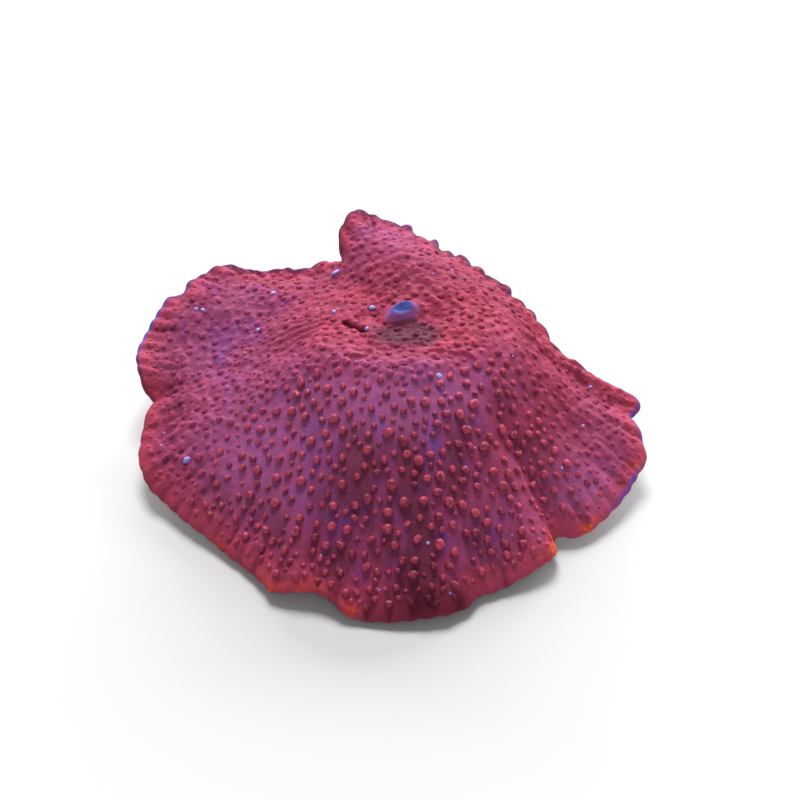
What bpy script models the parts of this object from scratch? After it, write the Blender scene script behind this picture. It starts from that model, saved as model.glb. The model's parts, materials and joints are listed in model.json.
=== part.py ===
"""Mushroom coral: one soft polyp, whose knobbly lobed disc drapes over a short foot that is cut off flat.

Metres, +Z up. The origin is the middle of the foot's flat cut, on the surface that the coral rests on.
Sizes below are in millimetres, angles in degrees about the mouth, from +X towards +Y.
"""

import math

import bpy
import numpy as np
from mathutils import Vector
from mathutils.geometry import delaunay_2d_cdt

MM = 0.001
SEED = 11

# The mouth, on the disc's crown.
MOUTH = np.array([0.0, 5.0])
BASIN_HEIGHT = 16.0

# The disc's margin: angle, reach from the mouth, height of its edge.
MARGIN = np.array(
    [
        (-162.0, 32.9, 3.4),
        (-156.0, 33.0, 2.8),
        (-151.0, 32.1, 2.0),
        (-144.0, 31.4, 1.7),
        (-136.0, 30.8, 1.6),
        (-128.0, 31.0, 1.4),
        (-120.5, 32.1, 1.2),
        (-117.0, 33.1, 1.3),
        (-112.5, 32.5, 1.6),
        (-108.0, 32.0, 2.0),
        (-104.5, 32.5, 1.9),
        (-101.5, 33.4, 1.4),
        (-93.0, 33.6, 1.0),
        (-83.5, 33.4, 1.1),
        (-77.0, 32.2, 1.2),
        (-74.5, 30.9, 1.3),
        (-70.0, 30.6, 1.4),
        (-62.0, 30.4, 1.7),
        (-57.0, 30.2, 2.0),
        (-53.6, 29.2, 2.2),
        (-50.4, 27.1, 1.6),
        (-47.3, 28.2, 1.3),
        (-44.0, 29.0, 1.4),
        (-39.0, 29.3, 1.7),
        (-30.0, 29.7, 2.4),
        (-23.8, 29.9, 3.2),
        (-20.3, 30.2, 3.6),
        (-17.4, 29.5, 4.0),
        (-12.5, 28.3, 4.7),
        (-9.2, 27.2, 5.0),
        (-6.8, 27.9, 5.3),
        (-4.3, 28.2, 5.5),
        (-2.0, 27.0, 5.7),
        (0.5, 23.4, 6.7),
        (3.4, 21.6, 7.8),
        (7.2, 18.8, 9.4),
        (11.1, 18.0, 10.4),
        (17.7, 17.1, 11.5),
        (24.0, 16.5, 12.4),
        (30.3, 15.5, 13.2),
        (38.2, 15.7, 13.8),
        (42.0, 15.0, 14.0),
        (56.0, 15.2, 14.5),
        (63.3, 15.4, 14.8),
        (72.5, 15.4, 15.0),
        (76.7, 16.5, 15.4),
        (83.1, 16.4, 15.6),
        (87.6, 18.0, 16.0),
        (95.6, 18.6, 16.5),
        (101.6, 19.9, 16.8),
        (106.1, 21.1, 17.0),
        (108.5, 21.0, 16.9),
        (112.0, 19.9, 16.7),
        (116.4, 18.4, 16.0),
        (118.2, 16.6, 13.8),
        (119.8, 18.9, 12.5),
        (124.2, 19.5, 11.6),
        (129.5, 20.3, 11.2),
        (131.8, 21.8, 11.0),
        (136.0, 23.1, 10.7),
        (138.4, 24.4, 10.5),
        (140.6, 28.2, 10.2),
        (143.0, 29.3, 10.0),
        (147.0, 29.7, 9.8),
        (151.9, 30.4, 9.6),
        (154.8, 30.0, 9.4),
        (156.8, 31.6, 9.2),
        (162.0, 31.9, 9.0),
        (168.0, 32.3, 8.6),
        (173.0, 32.5, 8.2),
        (178.3, 31.9, 7.6),
        (181.6, 31.0, 6.6),
        (183.4, 29.9, 5.4),
        (185.4, 30.5, 5.2),
        (189.3, 31.3, 4.6),
        (194.2, 32.2, 4.0),
    ]
)

# Inside the margin the form follows an eased outline: how far round the easing reaches in degrees, and the
# share of the reach from which the true outline takes over.
EASE_WIDTH = 7.0
EASE_START = 0.5

# The disc's form: angle, then the height of its upper side at each of these shares of the margin's reach.
STATIONS = (0.15, 0.30, 0.45, 0.60, 0.75, 0.90)
SECTIONS = np.array(
    [
        (-165.0, 16.7, 16.4, 13.9, 10.8, 8.1, 5.4),
        (-145.0, 17.1, 17.2, 14.8, 11.3, 7.9, 4.6),
        (-120.0, 17.6, 17.9, 15.5, 12.0, 8.2, 4.2),
        (-90.0, 17.9, 18.4, 16.0, 12.5, 8.5, 4.1),
        (-65.0, 17.6, 17.9, 15.8, 12.4, 8.5, 4.6),
        (-46.0, 17.3, 17.6, 15.9, 12.4, 8.3, 4.3),
        (-31.0, 17.3, 17.5, 15.8, 11.8, 7.9, 5.0),
        (-15.0, 17.1, 17.4, 15.9, 12.2, 8.6, 6.1),
        (-6.0, 17.0, 17.3, 16.2, 12.8, 9.0, 6.4),
        (0.5, 17.0, 17.2, 16.6, 14.6, 11.2, 8.2),
        (9.0, 17.0, 17.2, 17.0, 16.0, 13.8, 11.4),
        (17.5, 17.0, 17.2, 17.1, 16.4, 14.9, 12.9),
        (31.0, 17.0, 17.2, 17.2, 16.8, 15.7, 14.2),
        (47.0, 17.0, 17.3, 17.4, 17.1, 16.2, 14.9),
        (72.0, 16.9, 17.3, 17.6, 17.5, 16.9, 15.9),
        (90.0, 16.8, 17.2, 17.6, 17.8, 17.4, 16.7),
        (105.0, 16.6, 16.7, 16.8, 16.9, 16.9, 17.0),
        (112.0, 16.5, 16.4, 16.3, 16.2, 16.2, 16.4),
        (116.5, 16.4, 16.2, 16.0, 15.8, 15.6, 15.8),
        (120.0, 16.3, 16.0, 15.6, 15.2, 14.6, 13.4),
        (131.0, 16.2, 15.5, 14.7, 13.8, 12.7, 11.4),
        (145.0, 16.1, 15.2, 13.9, 12.5, 11.2, 10.4),
        (160.0, 16.0, 15.2, 13.2, 11.2, 10.2, 9.8),
        (178.0, 16.2, 15.7, 13.2, 10.2, 8.3, 7.5),
    ]
)

# Narrow clefts where two lobes of the margin meet: angle, depth, half width in degrees, share where it starts.
CLEFTS = (
    (-52.5, 0.9, 1.8, 0.88),
    (118.5, 1.5, 2.2, 0.84),
    (182.0, 1.0, 2.5, 0.82),
)

# Soft folds that run down the drape: angle, height (valleys are negative), half width in degrees.
FOLDS = (
    (-131.0, -0.5, 8.0),
    (-112.0, 0.45, 6.0),
    (-99.0, -0.4, 5.0),
    (-84.0, 0.4, 6.0),
    (-71.0, -0.45, 5.0),
    (-58.0, 0.4, 5.0),
    (-14.0, 0.35, 5.0),
    (-6.0, -0.5, 4.0),
    (152.0, 0.4, 7.0),
    (167.0, -0.5, 6.0),
    (-172.0, 0.4, 5.0),
)
FOLD_START = 0.45
FOLD_FULL = 0.85

# The mouth: an oval lip on a low cone, with a slit in it. The lip's crest is a share of its half sizes.
CONE_RADIUS = 2.6
CONE_HEIGHT = 1.5
LIP_HALF_LENGTH = 1.9
LIP_HALF_WIDTH = 1.15
LIP_TURN = math.radians(20.0)
LIP_HEIGHT = 0.7
LIP_CREST = 0.5
LIP_SOFTNESS = 0.5
SLIT_DEPTH = 0.3
SLIT_HALF_LENGTH = 0.95
SLIT_HALF_WIDTH = 0.25

# The disc's flesh, which is full up to a share of the reach and thins to the edge, and the foot under it.
EDGE_THICKNESS = 1.1
FLESH_THICKNESS = 3.0
THINNING_START = 0.45
FLOOR_GAP = 0.35
FOOT_RADIUS = 11.5
STALK_FLARE = 3.2
STALK_HEIGHT = 14.0
STALK_CURVE = 0.8
STALK_BLEND = 1.2

# A crease in the crown beside the mouth: its two ends, depth and half width.
CREASE_ENDS = np.array([(-6.6, 5.0), (-3.6, 3.3)])
CREASE_DEPTH = 0.9
CREASE_HALF_WIDTH = 0.55

# The front of the drape, where the knobs are large: the angle of its middle, how far to each side it is
# full and where it ends, and the shares of the reach between which it begins.
FRONT_ANGLE = -92.0
FRONT_FULL = 28.0
FRONT_END = 82.0
FRONT_START_SHARE = 0.24
FRONT_FULL_SHARE = 0.5

# The knobs: radius and spacing on the crown and at the sides, and on the drape in front.
SIDE_KNOB = 0.50
DRAPE_KNOB = 0.70
SIDE_SPACING = 2.05
DRAPE_SPACING = 2.15
KNOB_VARIES = (0.8, 1.18)
KNOB_TRIALS = 16000
KNOB_FIELD = ((-34.0, -30.0), (31.0, 27.0))
KNOB_CLEAR_OF_MARGIN = 1.0
KNOB_CLEAR_OF_MOUTH = 3.1
KNOB_BASE = 1.2
KNOB_TOP = 0.6
KNOB_RISE = 0.95

# The margin's scallops.
SCALLOPS = 83
SCALLOP_DEPTH = 0.16
SCALLOP_DRIFT = 0.8
SCALLOP_DRIFTS = 7
BROW_WIDTH = 0.45
BROW_CLEARANCE = 0.1

# How finely the solid is faceted.
RIM_POINTS = 4 * SCALLOPS
FILL_SPACING = 1.95
FILL_CLEARANCE = 0.55
FILL_END = 0.965
MOUTH_RINGS = ((1.0, 12, 0.26), (0.6, 10, 0.0))
CONE_SIDES = 12
CONE_STRETCH = 1.15
SLIT_POINTS = (-0.55, 0.0, 0.55)
KNOB_BASE_SIDES = 5
KNOB_TOP_SIDES = 3
UNDER_RINGS = ((0.955, 110), (0.86, 84), (0.74, 66), (0.62, 54))
STALK_RINGS = ((3.6, 44), (1.7, 40), (0.5, 36))
UNDER_SPACING = 1.5
UNDER_END = 0.96
UNDER_CLEAR_OF_MARGIN = 0.7
SLOPE_STEP = 0.25
SHARP_ANGLE = math.radians(50.0)
FOOT_POINTS = 36


def smooth_step(low, high, x):
    t = np.clip((x - low) / (high - low), 0.0, 1.0)
    return t * t * (3.0 - 2.0 * t)


def slopes_without_overshoot(places, rows):
    """The slope at each place of curves through the rows, flat at each high or low point."""
    chords = np.diff(rows, axis=-1) / np.diff(places)
    before, after = chords[..., :-1], chords[..., 1:]
    same_way = before * after > 0
    total = np.where(same_way, before + after, 1.0)
    inner = np.where(same_way, 2.0 * before * after / total, 0.0)
    return np.concatenate([chords[..., :1], inner, chords[..., -1:]], axis=-1)


def curve_at(places, rows, x):
    """Reads each row's smooth curve at its own x."""
    slopes = slopes_without_overshoot(places, rows)
    left = np.clip(np.searchsorted(places, x, side="right") - 1, 0, len(places) - 2)
    width = places[left + 1] - places[left]
    t = (x - places[left]) / width
    row = np.arange(len(x))
    start, end = rows[row, left], rows[row, left + 1]
    start_slope, end_slope = slopes[row, left] * width, slopes[row, left + 1] * width
    return (
        start * (1 + 2 * t) * (1 - t) ** 2
        + start_slope * t * (1 - t) ** 2
        + end * t * t * (3 - 2 * t)
        + end_slope * t * t * (t - 1)
    )


def round_table_at(table, angle):
    """Reads every column of a table that runs round the mouth, at these angles."""
    order = np.argsort(table[:, 0] % 360.0)
    turned = table[order] % np.array([360.0] + [1e9] * (table.shape[1] - 1))
    whole_turn = np.array([360.0] + [0.0] * (table.shape[1] - 1))
    padded = np.concatenate([turned[-2:] - whole_turn, turned, turned[:2] + whole_turn])
    angle = angle % 360.0
    columns = [
        curve_at(padded[:, 0], np.broadcast_to(column, (len(angle), len(column))), angle)
        for column in padded[:, 1:].T
    ]
    return np.stack(columns, axis=1)


def eased_reach():
    """The margin's reach at each whole degree, evened out along the margin."""
    whole = np.arange(360.0)
    reach = round_table_at(MARGIN, whole)[:, 0]
    gap = (whole[:, None] - whole + 180.0) % 360.0 - 180.0
    weight = np.exp(-0.5 * (gap / EASE_WIDTH) ** 2)
    return weight @ reach / weight.sum(axis=1)


EASED_REACH = eased_reach()


def about_mouth(points):
    """Angle about the mouth, distance from it, and share of the margin's reach, for points in plan."""
    away = points - MOUTH
    distance = np.hypot(away[:, 0], away[:, 1])
    angle = np.degrees(np.arctan2(away[:, 1], away[:, 0]))
    reach = round_table_at(MARGIN, angle)[:, 0]
    return angle, distance, distance / reach


def angle_gap(angle, other):
    return (angle - other + 180.0) % 360.0 - 180.0


def crease_depth(points):
    """How far the crease beside the mouth pulls the crown down."""
    start, end = CREASE_ENDS
    run = end - start
    along = np.clip((points - start) @ run / (run @ run), 0.0, 1.0)
    aside = np.linalg.norm(points - start - along[:, None] * run, axis=1)
    return CREASE_DEPTH * np.exp(-((aside / CREASE_HALF_WIDTH) ** 2))


def disc_height(points):
    """Height of the disc's upper side without its knobs and mouth."""
    angle, distance, share = about_mouth(points)
    eased = distance / np.interp(angle % 360.0, np.arange(360.0), EASED_REACH, period=360.0)
    share = np.clip(eased + (share - eased) * smooth_step(EASE_START, 1.0, share), 0.0, 1.0)
    margin_height = round_table_at(MARGIN, angle)[:, 1:] + EDGE_THICKNESS / 2
    inner = round_table_at(SECTIONS, angle)
    centre = np.full((len(points), 1), BASIN_HEIGHT)
    rows = np.concatenate([centre, inner, margin_height], axis=1)
    height = curve_at(np.array((0.0,) + STATIONS + (1.0,)), rows, share)
    down_the_drape = smooth_step(FOLD_START, FOLD_FULL, share)
    for fold_angle, rise, half_width in FOLDS:
        across = np.exp(-((angle_gap(angle, fold_angle) / half_width) ** 2))
        height += rise * across * down_the_drape
    for cleft_angle, depth, half_width, start in CLEFTS:
        across = np.exp(-((angle_gap(angle, cleft_angle) / half_width) ** 2))
        height -= depth * across * smooth_step(start, 1.0, share)
    height -= crease_depth(points)
    lowest = FLOOR_GAP + EDGE_THICKNESS
    return np.maximum(height, lowest)


def mouth_height(points):
    """Height that the oral cone, its lip and its slit add."""
    away = points - MOUTH
    distance = np.hypot(away[:, 0], away[:, 1])
    along = away[:, 0] * math.cos(LIP_TURN) + away[:, 1] * math.sin(LIP_TURN)
    across = away[:, 1] * math.cos(LIP_TURN) - away[:, 0] * math.sin(LIP_TURN)
    oval = np.hypot(along / LIP_HALF_LENGTH, across / LIP_HALF_WIDTH)
    cone = CONE_HEIGHT * (1.0 - smooth_step(0.0, CONE_RADIUS, distance))
    lip = LIP_HEIGHT * np.exp(-(((oval - LIP_CREST) / LIP_SOFTNESS) ** 2))
    slit = SLIT_DEPTH * np.exp(-((along / SLIT_HALF_LENGTH) ** 2) - (across / SLIT_HALF_WIDTH) ** 2)
    return cone + lip - slit


def upper_height(points):
    return disc_height(points) + mouth_height(points)


def foot_edge(turn):
    """Radius of the foot's uneven outline at this turn about the origin, in radians."""
    return FOOT_RADIUS * (1.0 + 0.06 * np.cos(2 * turn + 0.5) + 0.035 * np.cos(3 * turn - 1.0))


def lower_height(points):
    """Height of the disc's underside and the stalk, which widens upwards from the foot's edge."""
    angle, _, share = about_mouth(points)
    inward = 1.0 - smooth_step(THINNING_START, 1.0, share)
    thickness = EDGE_THICKNESS + (FLESH_THICKNESS - EDGE_THICKNESS) * inward
    underside = np.maximum(disc_height(points) - thickness, FLOOR_GAP)
    radius = np.hypot(points[:, 0], points[:, 1])
    turn = np.arctan2(points[:, 1], points[:, 0])
    past_foot = np.clip(radius - foot_edge(turn), 0.0, None)
    stalk = STALK_HEIGHT * (past_foot / STALK_FLARE) ** STALK_CURVE
    joined = np.exp(-underside / STALK_BLEND) + np.exp(-stalk / STALK_BLEND)
    return np.clip(-STALK_BLEND * np.log(joined), 0.0, underside)


def frame_on_disc(points):
    """Two directions along the disc's upper side and the one out of it, at each point."""
    east, north = (SLOPE_STEP, 0.0), (0.0, SLOPE_STEP)
    rise_east = disc_height(points + east) - disc_height(points - east)
    rise_north = disc_height(points + north) - disc_height(points - north)
    outward = np.stack([-rise_east, -rise_north, np.full(len(points), 2 * SLOPE_STEP)], axis=1)
    outward /= np.linalg.norm(outward, axis=1, keepdims=True)
    first = np.stack([outward[:, 2], np.zeros(len(points)), -outward[:, 0]], axis=1)
    first /= np.linalg.norm(first, axis=1, keepdims=True)
    return first, np.cross(outward, first), outward


def frontness(angle, share):
    """One on the drape below the crest, nought on the crown, on the back and at the side lobes."""
    aside = np.abs(angle_gap(angle, FRONT_ANGLE))
    middle = 1.0 - smooth_step(FRONT_FULL, FRONT_END, aside)
    return middle * smooth_step(FRONT_START_SHARE, FRONT_FULL_SHARE, share)


def keep_apart(points, others, least):
    """The points that lie at least this far from all the others, in plan."""
    apart = np.linalg.norm(points[:, None] - others[None], axis=2).min(axis=1)
    return points[apart > least]


def stand_clear(places, gaps):
    """Indexes of the places that stand clear of every earlier one that is kept."""
    kept = []
    for candidate, place in enumerate(places):
        apart = np.linalg.norm(places[kept] - place, axis=1)
        if (apart >= np.minimum(gaps[kept], gaps[candidate])).all():
            kept.append(candidate)
    return kept


def scatter_knobs(rim):
    """Middle in plan and radius of every knob, clear of the mouth and of the rim's points."""
    chance = np.random.RandomState(SEED)
    points = chance.uniform(*KNOB_FIELD, size=(KNOB_TRIALS, 2))
    _, distance, share = about_mouth(points)
    points = points[(share < 1.0) & (distance > KNOB_CLEAR_OF_MOUTH)]
    points = keep_apart(points, rim, KNOB_CLEAR_OF_MARGIN)
    angle, _, share = about_mouth(points)
    front = frontness(angle, share)
    vary = chance.uniform(*KNOB_VARIES, len(points))
    radii = (SIDE_KNOB + (DRAPE_KNOB - SIDE_KNOB) * front) * vary
    gaps = (SIDE_SPACING + (DRAPE_SPACING - SIDE_SPACING) * front) * vary
    kept = stand_clear(np.column_stack([points, disc_height(points)]), gaps)
    return points[kept], radii[kept]


def ring(middle, first, second, radius, sides, start):
    """Points round a middle, in the plane of two directions."""
    turns = start + 2 * np.pi * np.arange(sides) / sides
    return middle + radius * (np.outer(np.cos(turns), first) + np.outer(np.sin(turns), second))


def knob_points(rim):
    """Plan and place of each knob's base ring, which lies on the disc, and of its raised top ring."""
    middles, radii = scatter_knobs(rim)
    firsts, seconds, outwards = frame_on_disc(middles)
    plans, places = [], []
    for middle, radius, first, second, outward in zip(middles, radii, firsts, seconds, outwards):
        flat_middle = np.append(middle, 0.0)
        start = middle.sum()
        base = ring(flat_middle, first, second, radius * KNOB_BASE, KNOB_BASE_SIDES, start)[:, :2]
        top = ring(flat_middle, first, second, radius * KNOB_TOP, KNOB_TOP_SIDES, start)[:, :2]
        plans += [base, top]
        places.append(np.column_stack([base, disc_height(base)]))
        raised = np.column_stack([top, disc_height(top)]) + outward * radius * KNOB_RISE
        places.append(raised)
    return np.concatenate(plans), np.concatenate(places)


def rim_points():
    """The margin's scalloped outline in plan, and its points at the edge's height."""
    angle = np.linspace(-180.0, 180.0, RIM_POINTS, endpoint=False)
    turn = np.radians(angle)
    drift = SCALLOP_DRIFT * np.sin(SCALLOP_DRIFTS * turn)
    scallop = np.abs(np.sin(0.5 * SCALLOPS * turn + drift))
    reach = round_table_at(MARGIN, angle)[:, 0] - SCALLOP_DEPTH * (1.0 - scallop)
    plan = MOUTH + reach[:, None] * np.column_stack([np.cos(turn), np.sin(turn)])
    edge_height = disc_height(plan) - EDGE_THICKNESS / 2
    return plan, np.column_stack([plan, edge_height])


def brow_plan(rim):
    """A ring of plan points just inside the rim, where the upper side rolls over to the edge."""
    along = np.roll(rim, -1, axis=0) - np.roll(rim, 1, axis=0)
    inward = np.column_stack([-along[:, 1], along[:, 0]]) / np.linalg.norm(along, axis=1, keepdims=True)
    brow = rim + BROW_WIDTH * inward
    return keep_apart(brow, rim, BROW_WIDTH - BROW_CLEARANCE)


def mouth_plan():
    """Plan points that carry the mouth: rings of its cone and lip, and the slit."""
    along = np.array([math.cos(LIP_TURN), math.sin(LIP_TURN)])
    across = np.array([-along[1], along[0]])
    rings = [ring(MOUTH, along * CONE_STRETCH, across, CONE_RADIUS, CONE_SIDES, 0.0)]
    for size, sides, start in MOUTH_RINGS:
        rings.append(ring(MOUTH, along * LIP_HALF_LENGTH, across * LIP_HALF_WIDTH, size, sides, start))
    slit = MOUTH + np.outer(SLIT_POINTS, along)
    return np.concatenate(rings + [slit])


def fill_plan(others):
    """A staggered field of plan points over the disc, clear of the other points and of the margin."""
    (left, front), (right, back) = KNOB_FIELD
    rows = np.arange(front, back, FILL_SPACING * math.sqrt(0.75))
    columns = np.arange(left, right, FILL_SPACING)
    field = [
        (x + (0.5 * FILL_SPACING if index % 2 else 0.0), y)
        for index, y in enumerate(rows)
        for x in columns
    ]
    field = np.array(field)
    field = field[about_mouth(field)[2] < FILL_END]
    return keep_apart(field, others, FILL_CLEARANCE * FILL_SPACING)


def under_plan(rim):
    """Plan points of the underside: rings that follow the margin, rings of the stalk, and the foot's edge."""
    rings = []
    for share, count in UNDER_RINGS:
        angle = np.linspace(-180.0, 180.0, count, endpoint=False)
        turn = np.radians(angle)
        reach = round_table_at(MARGIN, angle)[:, :1] * share
        rings.append(MOUTH + reach * np.column_stack([np.cos(turn), np.sin(turn)]))
    for past_foot, count in STALK_RINGS:
        turn = np.linspace(0.0, 2 * np.pi, count, endpoint=False)
        radius = foot_edge(turn)[:, None] + past_foot
        rings.append(radius * np.column_stack([np.cos(turn), np.sin(turn)]))
    kept = rings[-1]
    for outer in rings[-2::-1]:
        outer = outer[about_mouth(outer)[2] < UNDER_END]
        kept = np.concatenate([kept, keep_apart(outer, kept, UNDER_SPACING)])
    turn = np.linspace(0.0, 2 * np.pi, FOOT_POINTS, endpoint=False)
    foot = foot_edge(turn)[:, None] * np.column_stack([np.cos(turn), np.sin(turn)])
    return foot, keep_apart(kept, rim, UNDER_CLEAR_OF_MARGIN)


def loop_edges(start, count):
    return [(start + i, start + (i + 1) % count) for i in range(count)]


def triangulate(plan, loops):
    """Triangles over plan points inside the first closed loop, which keep the edges of every loop."""
    coords = [Vector((float(x), float(y))) for x, y in plan]
    edges = [edge for start, count in loops for edge in loop_edges(start, count)]
    made = delaunay_2d_cdt(coords, edges, [], 1, 1e-5)
    source = [found[0] for found in made[3]]
    return [tuple(source[corner] for corner in face) for face in made[2]]


def polyp_mesh():
    """The whole polyp as one closed mesh: knobbly upper side, underside, stalk and flat foot."""
    rim_plan, rim_place = rim_points()
    knob_plan, knob_place = knob_points(rim_plan)
    mouth = mouth_plan()
    fixed = np.concatenate([rim_plan, knob_plan, mouth])
    brow = keep_apart(brow_plan(rim_plan), knob_plan, BROW_CLEARANCE)
    fill = np.concatenate([brow, fill_plan(np.concatenate([fixed, brow]))])
    upper_plan = np.concatenate([fixed, fill])
    smooth = np.concatenate([mouth, fill])
    smooth_place = np.column_stack([smooth, upper_height(smooth)])
    upper_place = np.concatenate([rim_place, knob_place, smooth_place])
    upper_faces = triangulate(upper_plan, [(0, RIM_POINTS)])

    foot, under = under_plan(rim_plan)
    under_all = np.concatenate([rim_plan, foot, under])
    under_faces = triangulate(under_all, [(0, RIM_POINTS), (RIM_POINTS, len(foot))])
    own = under_all[RIM_POINTS:]
    own_place = np.column_stack([own, lower_height(own)])
    own_place[: len(foot), 2] = 0.0
    shift = len(upper_place) - RIM_POINTS
    lower_faces = [
        tuple(corner if corner < RIM_POINTS else corner + shift for corner in reversed(face))
        for face in under_faces
    ]
    places = np.concatenate([upper_place, own_place]) * MM

    mesh = bpy.data.meshes.new("polyp")
    mesh.from_pydata(places.tolist(), [], upper_faces + lower_faces)
    mesh.validate()
    mesh.update()
    return mesh


def coral_material():
    """Red-purple living tissue, with a wet sheen."""
    material = bpy.data.materials.new("coral_tissue")
    material.use_nodes = True
    shader = material.node_tree.nodes["Principled BSDF"]
    shader.inputs["Base Color"].default_value = (0.36, 0.055, 0.11, 1.0)
    shader.inputs["Roughness"].default_value = 0.42
    shader.inputs["Metallic"].default_value = 0.0
    return material


def build():
    for old in list(bpy.data.objects):
        bpy.data.objects.remove(old)
    polyp = bpy.data.objects.new("polyp", polyp_mesh())
    polyp.data.materials.append(coral_material())
    polyp.data.shade_smooth()
    polyp.data.set_sharp_from_angle(angle=SHARP_ANGLE)
    bpy.context.scene.collection.objects.link(polyp)


build()
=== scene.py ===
"""The looks of a soft mushroom coral: its knobbly skin, its wet tissue, the grains on it and a pale stage.

The form is worked out in millimetres, with angles in degrees about the mouth, from +X towards +Y.
The user's sizes are in metres, as everywhere in Blender.
"""

import json
import math

import bmesh
import bpy
import numpy as np
from bpy.props import (
    FloatProperty,
    FloatVectorProperty,
    IntProperty,
    PointerProperty,
)
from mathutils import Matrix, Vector, kdtree, noise
from mathutils.geometry import delaunay_2d_cdt

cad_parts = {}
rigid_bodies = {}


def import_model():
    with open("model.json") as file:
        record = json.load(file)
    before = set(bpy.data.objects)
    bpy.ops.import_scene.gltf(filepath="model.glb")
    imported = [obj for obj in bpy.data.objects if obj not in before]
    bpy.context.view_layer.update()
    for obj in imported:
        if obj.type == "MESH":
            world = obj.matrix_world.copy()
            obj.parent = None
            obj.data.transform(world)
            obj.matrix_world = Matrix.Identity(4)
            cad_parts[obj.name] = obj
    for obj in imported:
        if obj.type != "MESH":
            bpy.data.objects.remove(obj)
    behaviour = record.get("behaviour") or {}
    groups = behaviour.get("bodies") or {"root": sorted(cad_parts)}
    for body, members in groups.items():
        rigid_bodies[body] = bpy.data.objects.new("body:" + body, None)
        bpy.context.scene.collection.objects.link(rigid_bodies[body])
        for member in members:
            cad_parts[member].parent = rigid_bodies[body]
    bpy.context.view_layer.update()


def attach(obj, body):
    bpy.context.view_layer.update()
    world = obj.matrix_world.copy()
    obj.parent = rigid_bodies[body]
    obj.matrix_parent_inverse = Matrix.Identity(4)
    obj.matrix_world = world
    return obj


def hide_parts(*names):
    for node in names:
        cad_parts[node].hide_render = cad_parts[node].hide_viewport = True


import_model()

bl_info = {
    "name": "Mushroom Coral",
    "version": (1, 0, 0),
    "blender": (4, 5, 0),
    "location": "3D View > Sidebar > Coral",
    "description": "Models a soft, knobbly mushroom coral with its wet tissue on a pale stage",
    "category": "Add Mesh",
}

MM = 0.001

# The mouth, on the disc's crown.
MOUTH = np.array([0.0, 5.0])
BASIN_HEIGHT = 16.0

# The disc's margin: angle, reach from the mouth, height of its edge.
MARGIN = np.array(
    [
        (-162.0, 32.9, 3.4), (-156.0, 33.0, 2.8), (-151.0, 32.1, 2.0), (-144.0, 31.4, 1.7),
        (-136.0, 30.8, 1.6), (-128.0, 31.0, 1.4), (-120.5, 32.1, 1.2), (-117.0, 33.1, 1.3),
        (-112.5, 32.5, 1.6), (-108.0, 32.0, 2.0), (-104.5, 32.5, 1.9), (-101.5, 33.4, 1.4),
        (-93.0, 33.6, 1.0), (-83.5, 33.4, 1.1), (-77.0, 32.2, 1.2), (-74.5, 30.9, 1.3),
        (-70.0, 30.6, 1.4), (-62.0, 30.4, 1.7), (-57.0, 30.2, 2.0), (-53.6, 29.2, 2.2),
        (-50.4, 27.1, 1.6), (-47.3, 28.2, 1.3), (-44.0, 29.0, 1.4), (-39.0, 29.3, 1.7),
        (-30.0, 29.7, 2.4), (-23.8, 29.9, 3.2), (-20.3, 30.2, 3.6), (-17.4, 29.5, 4.0),
        (-12.5, 28.3, 4.7), (-9.2, 27.2, 5.0), (-6.8, 27.9, 5.3), (-4.3, 28.2, 5.5),
        (-2.0, 27.0, 5.7), (0.5, 23.4, 6.7), (3.4, 21.6, 7.8), (7.2, 18.8, 9.4),
        (11.1, 18.0, 10.4), (17.7, 17.1, 11.5), (24.0, 16.5, 12.4), (30.3, 15.5, 13.2),
        (38.2, 15.7, 13.8), (42.0, 15.0, 14.0), (56.0, 15.2, 14.5), (63.3, 15.4, 14.8),
        (72.5, 15.4, 15.0), (76.7, 16.5, 15.4), (83.1, 16.4, 15.6), (87.6, 18.0, 16.0),
        (95.6, 18.6, 16.5), (101.6, 19.9, 16.8), (106.1, 21.1, 17.0), (108.5, 21.0, 16.9),
        (112.0, 19.9, 16.7), (116.4, 18.4, 16.0), (118.2, 16.6, 13.8), (119.8, 18.9, 12.5),
        (124.2, 19.5, 11.6), (129.5, 20.3, 11.2), (131.8, 21.8, 11.0), (136.0, 23.1, 10.7),
        (138.4, 24.4, 10.5), (140.6, 28.2, 10.2), (143.0, 29.3, 10.0), (147.0, 29.7, 9.8),
        (151.9, 30.4, 9.6), (154.8, 30.0, 9.4), (156.8, 31.6, 9.2), (162.0, 31.9, 9.0),
        (168.0, 32.3, 8.6), (173.0, 32.5, 8.2), (178.3, 31.9, 7.6), (181.6, 31.0, 6.6),
        (183.4, 29.9, 5.4), (185.4, 30.5, 5.2), (189.3, 31.3, 4.6), (194.2, 32.2, 4.0),
    ]
)

# Inside the margin the form follows an eased outline: how far round the easing reaches in degrees, and the
# share of the reach from which the true outline takes over.
EASE_WIDTH = 7.0
EASE_START = 0.5

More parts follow.
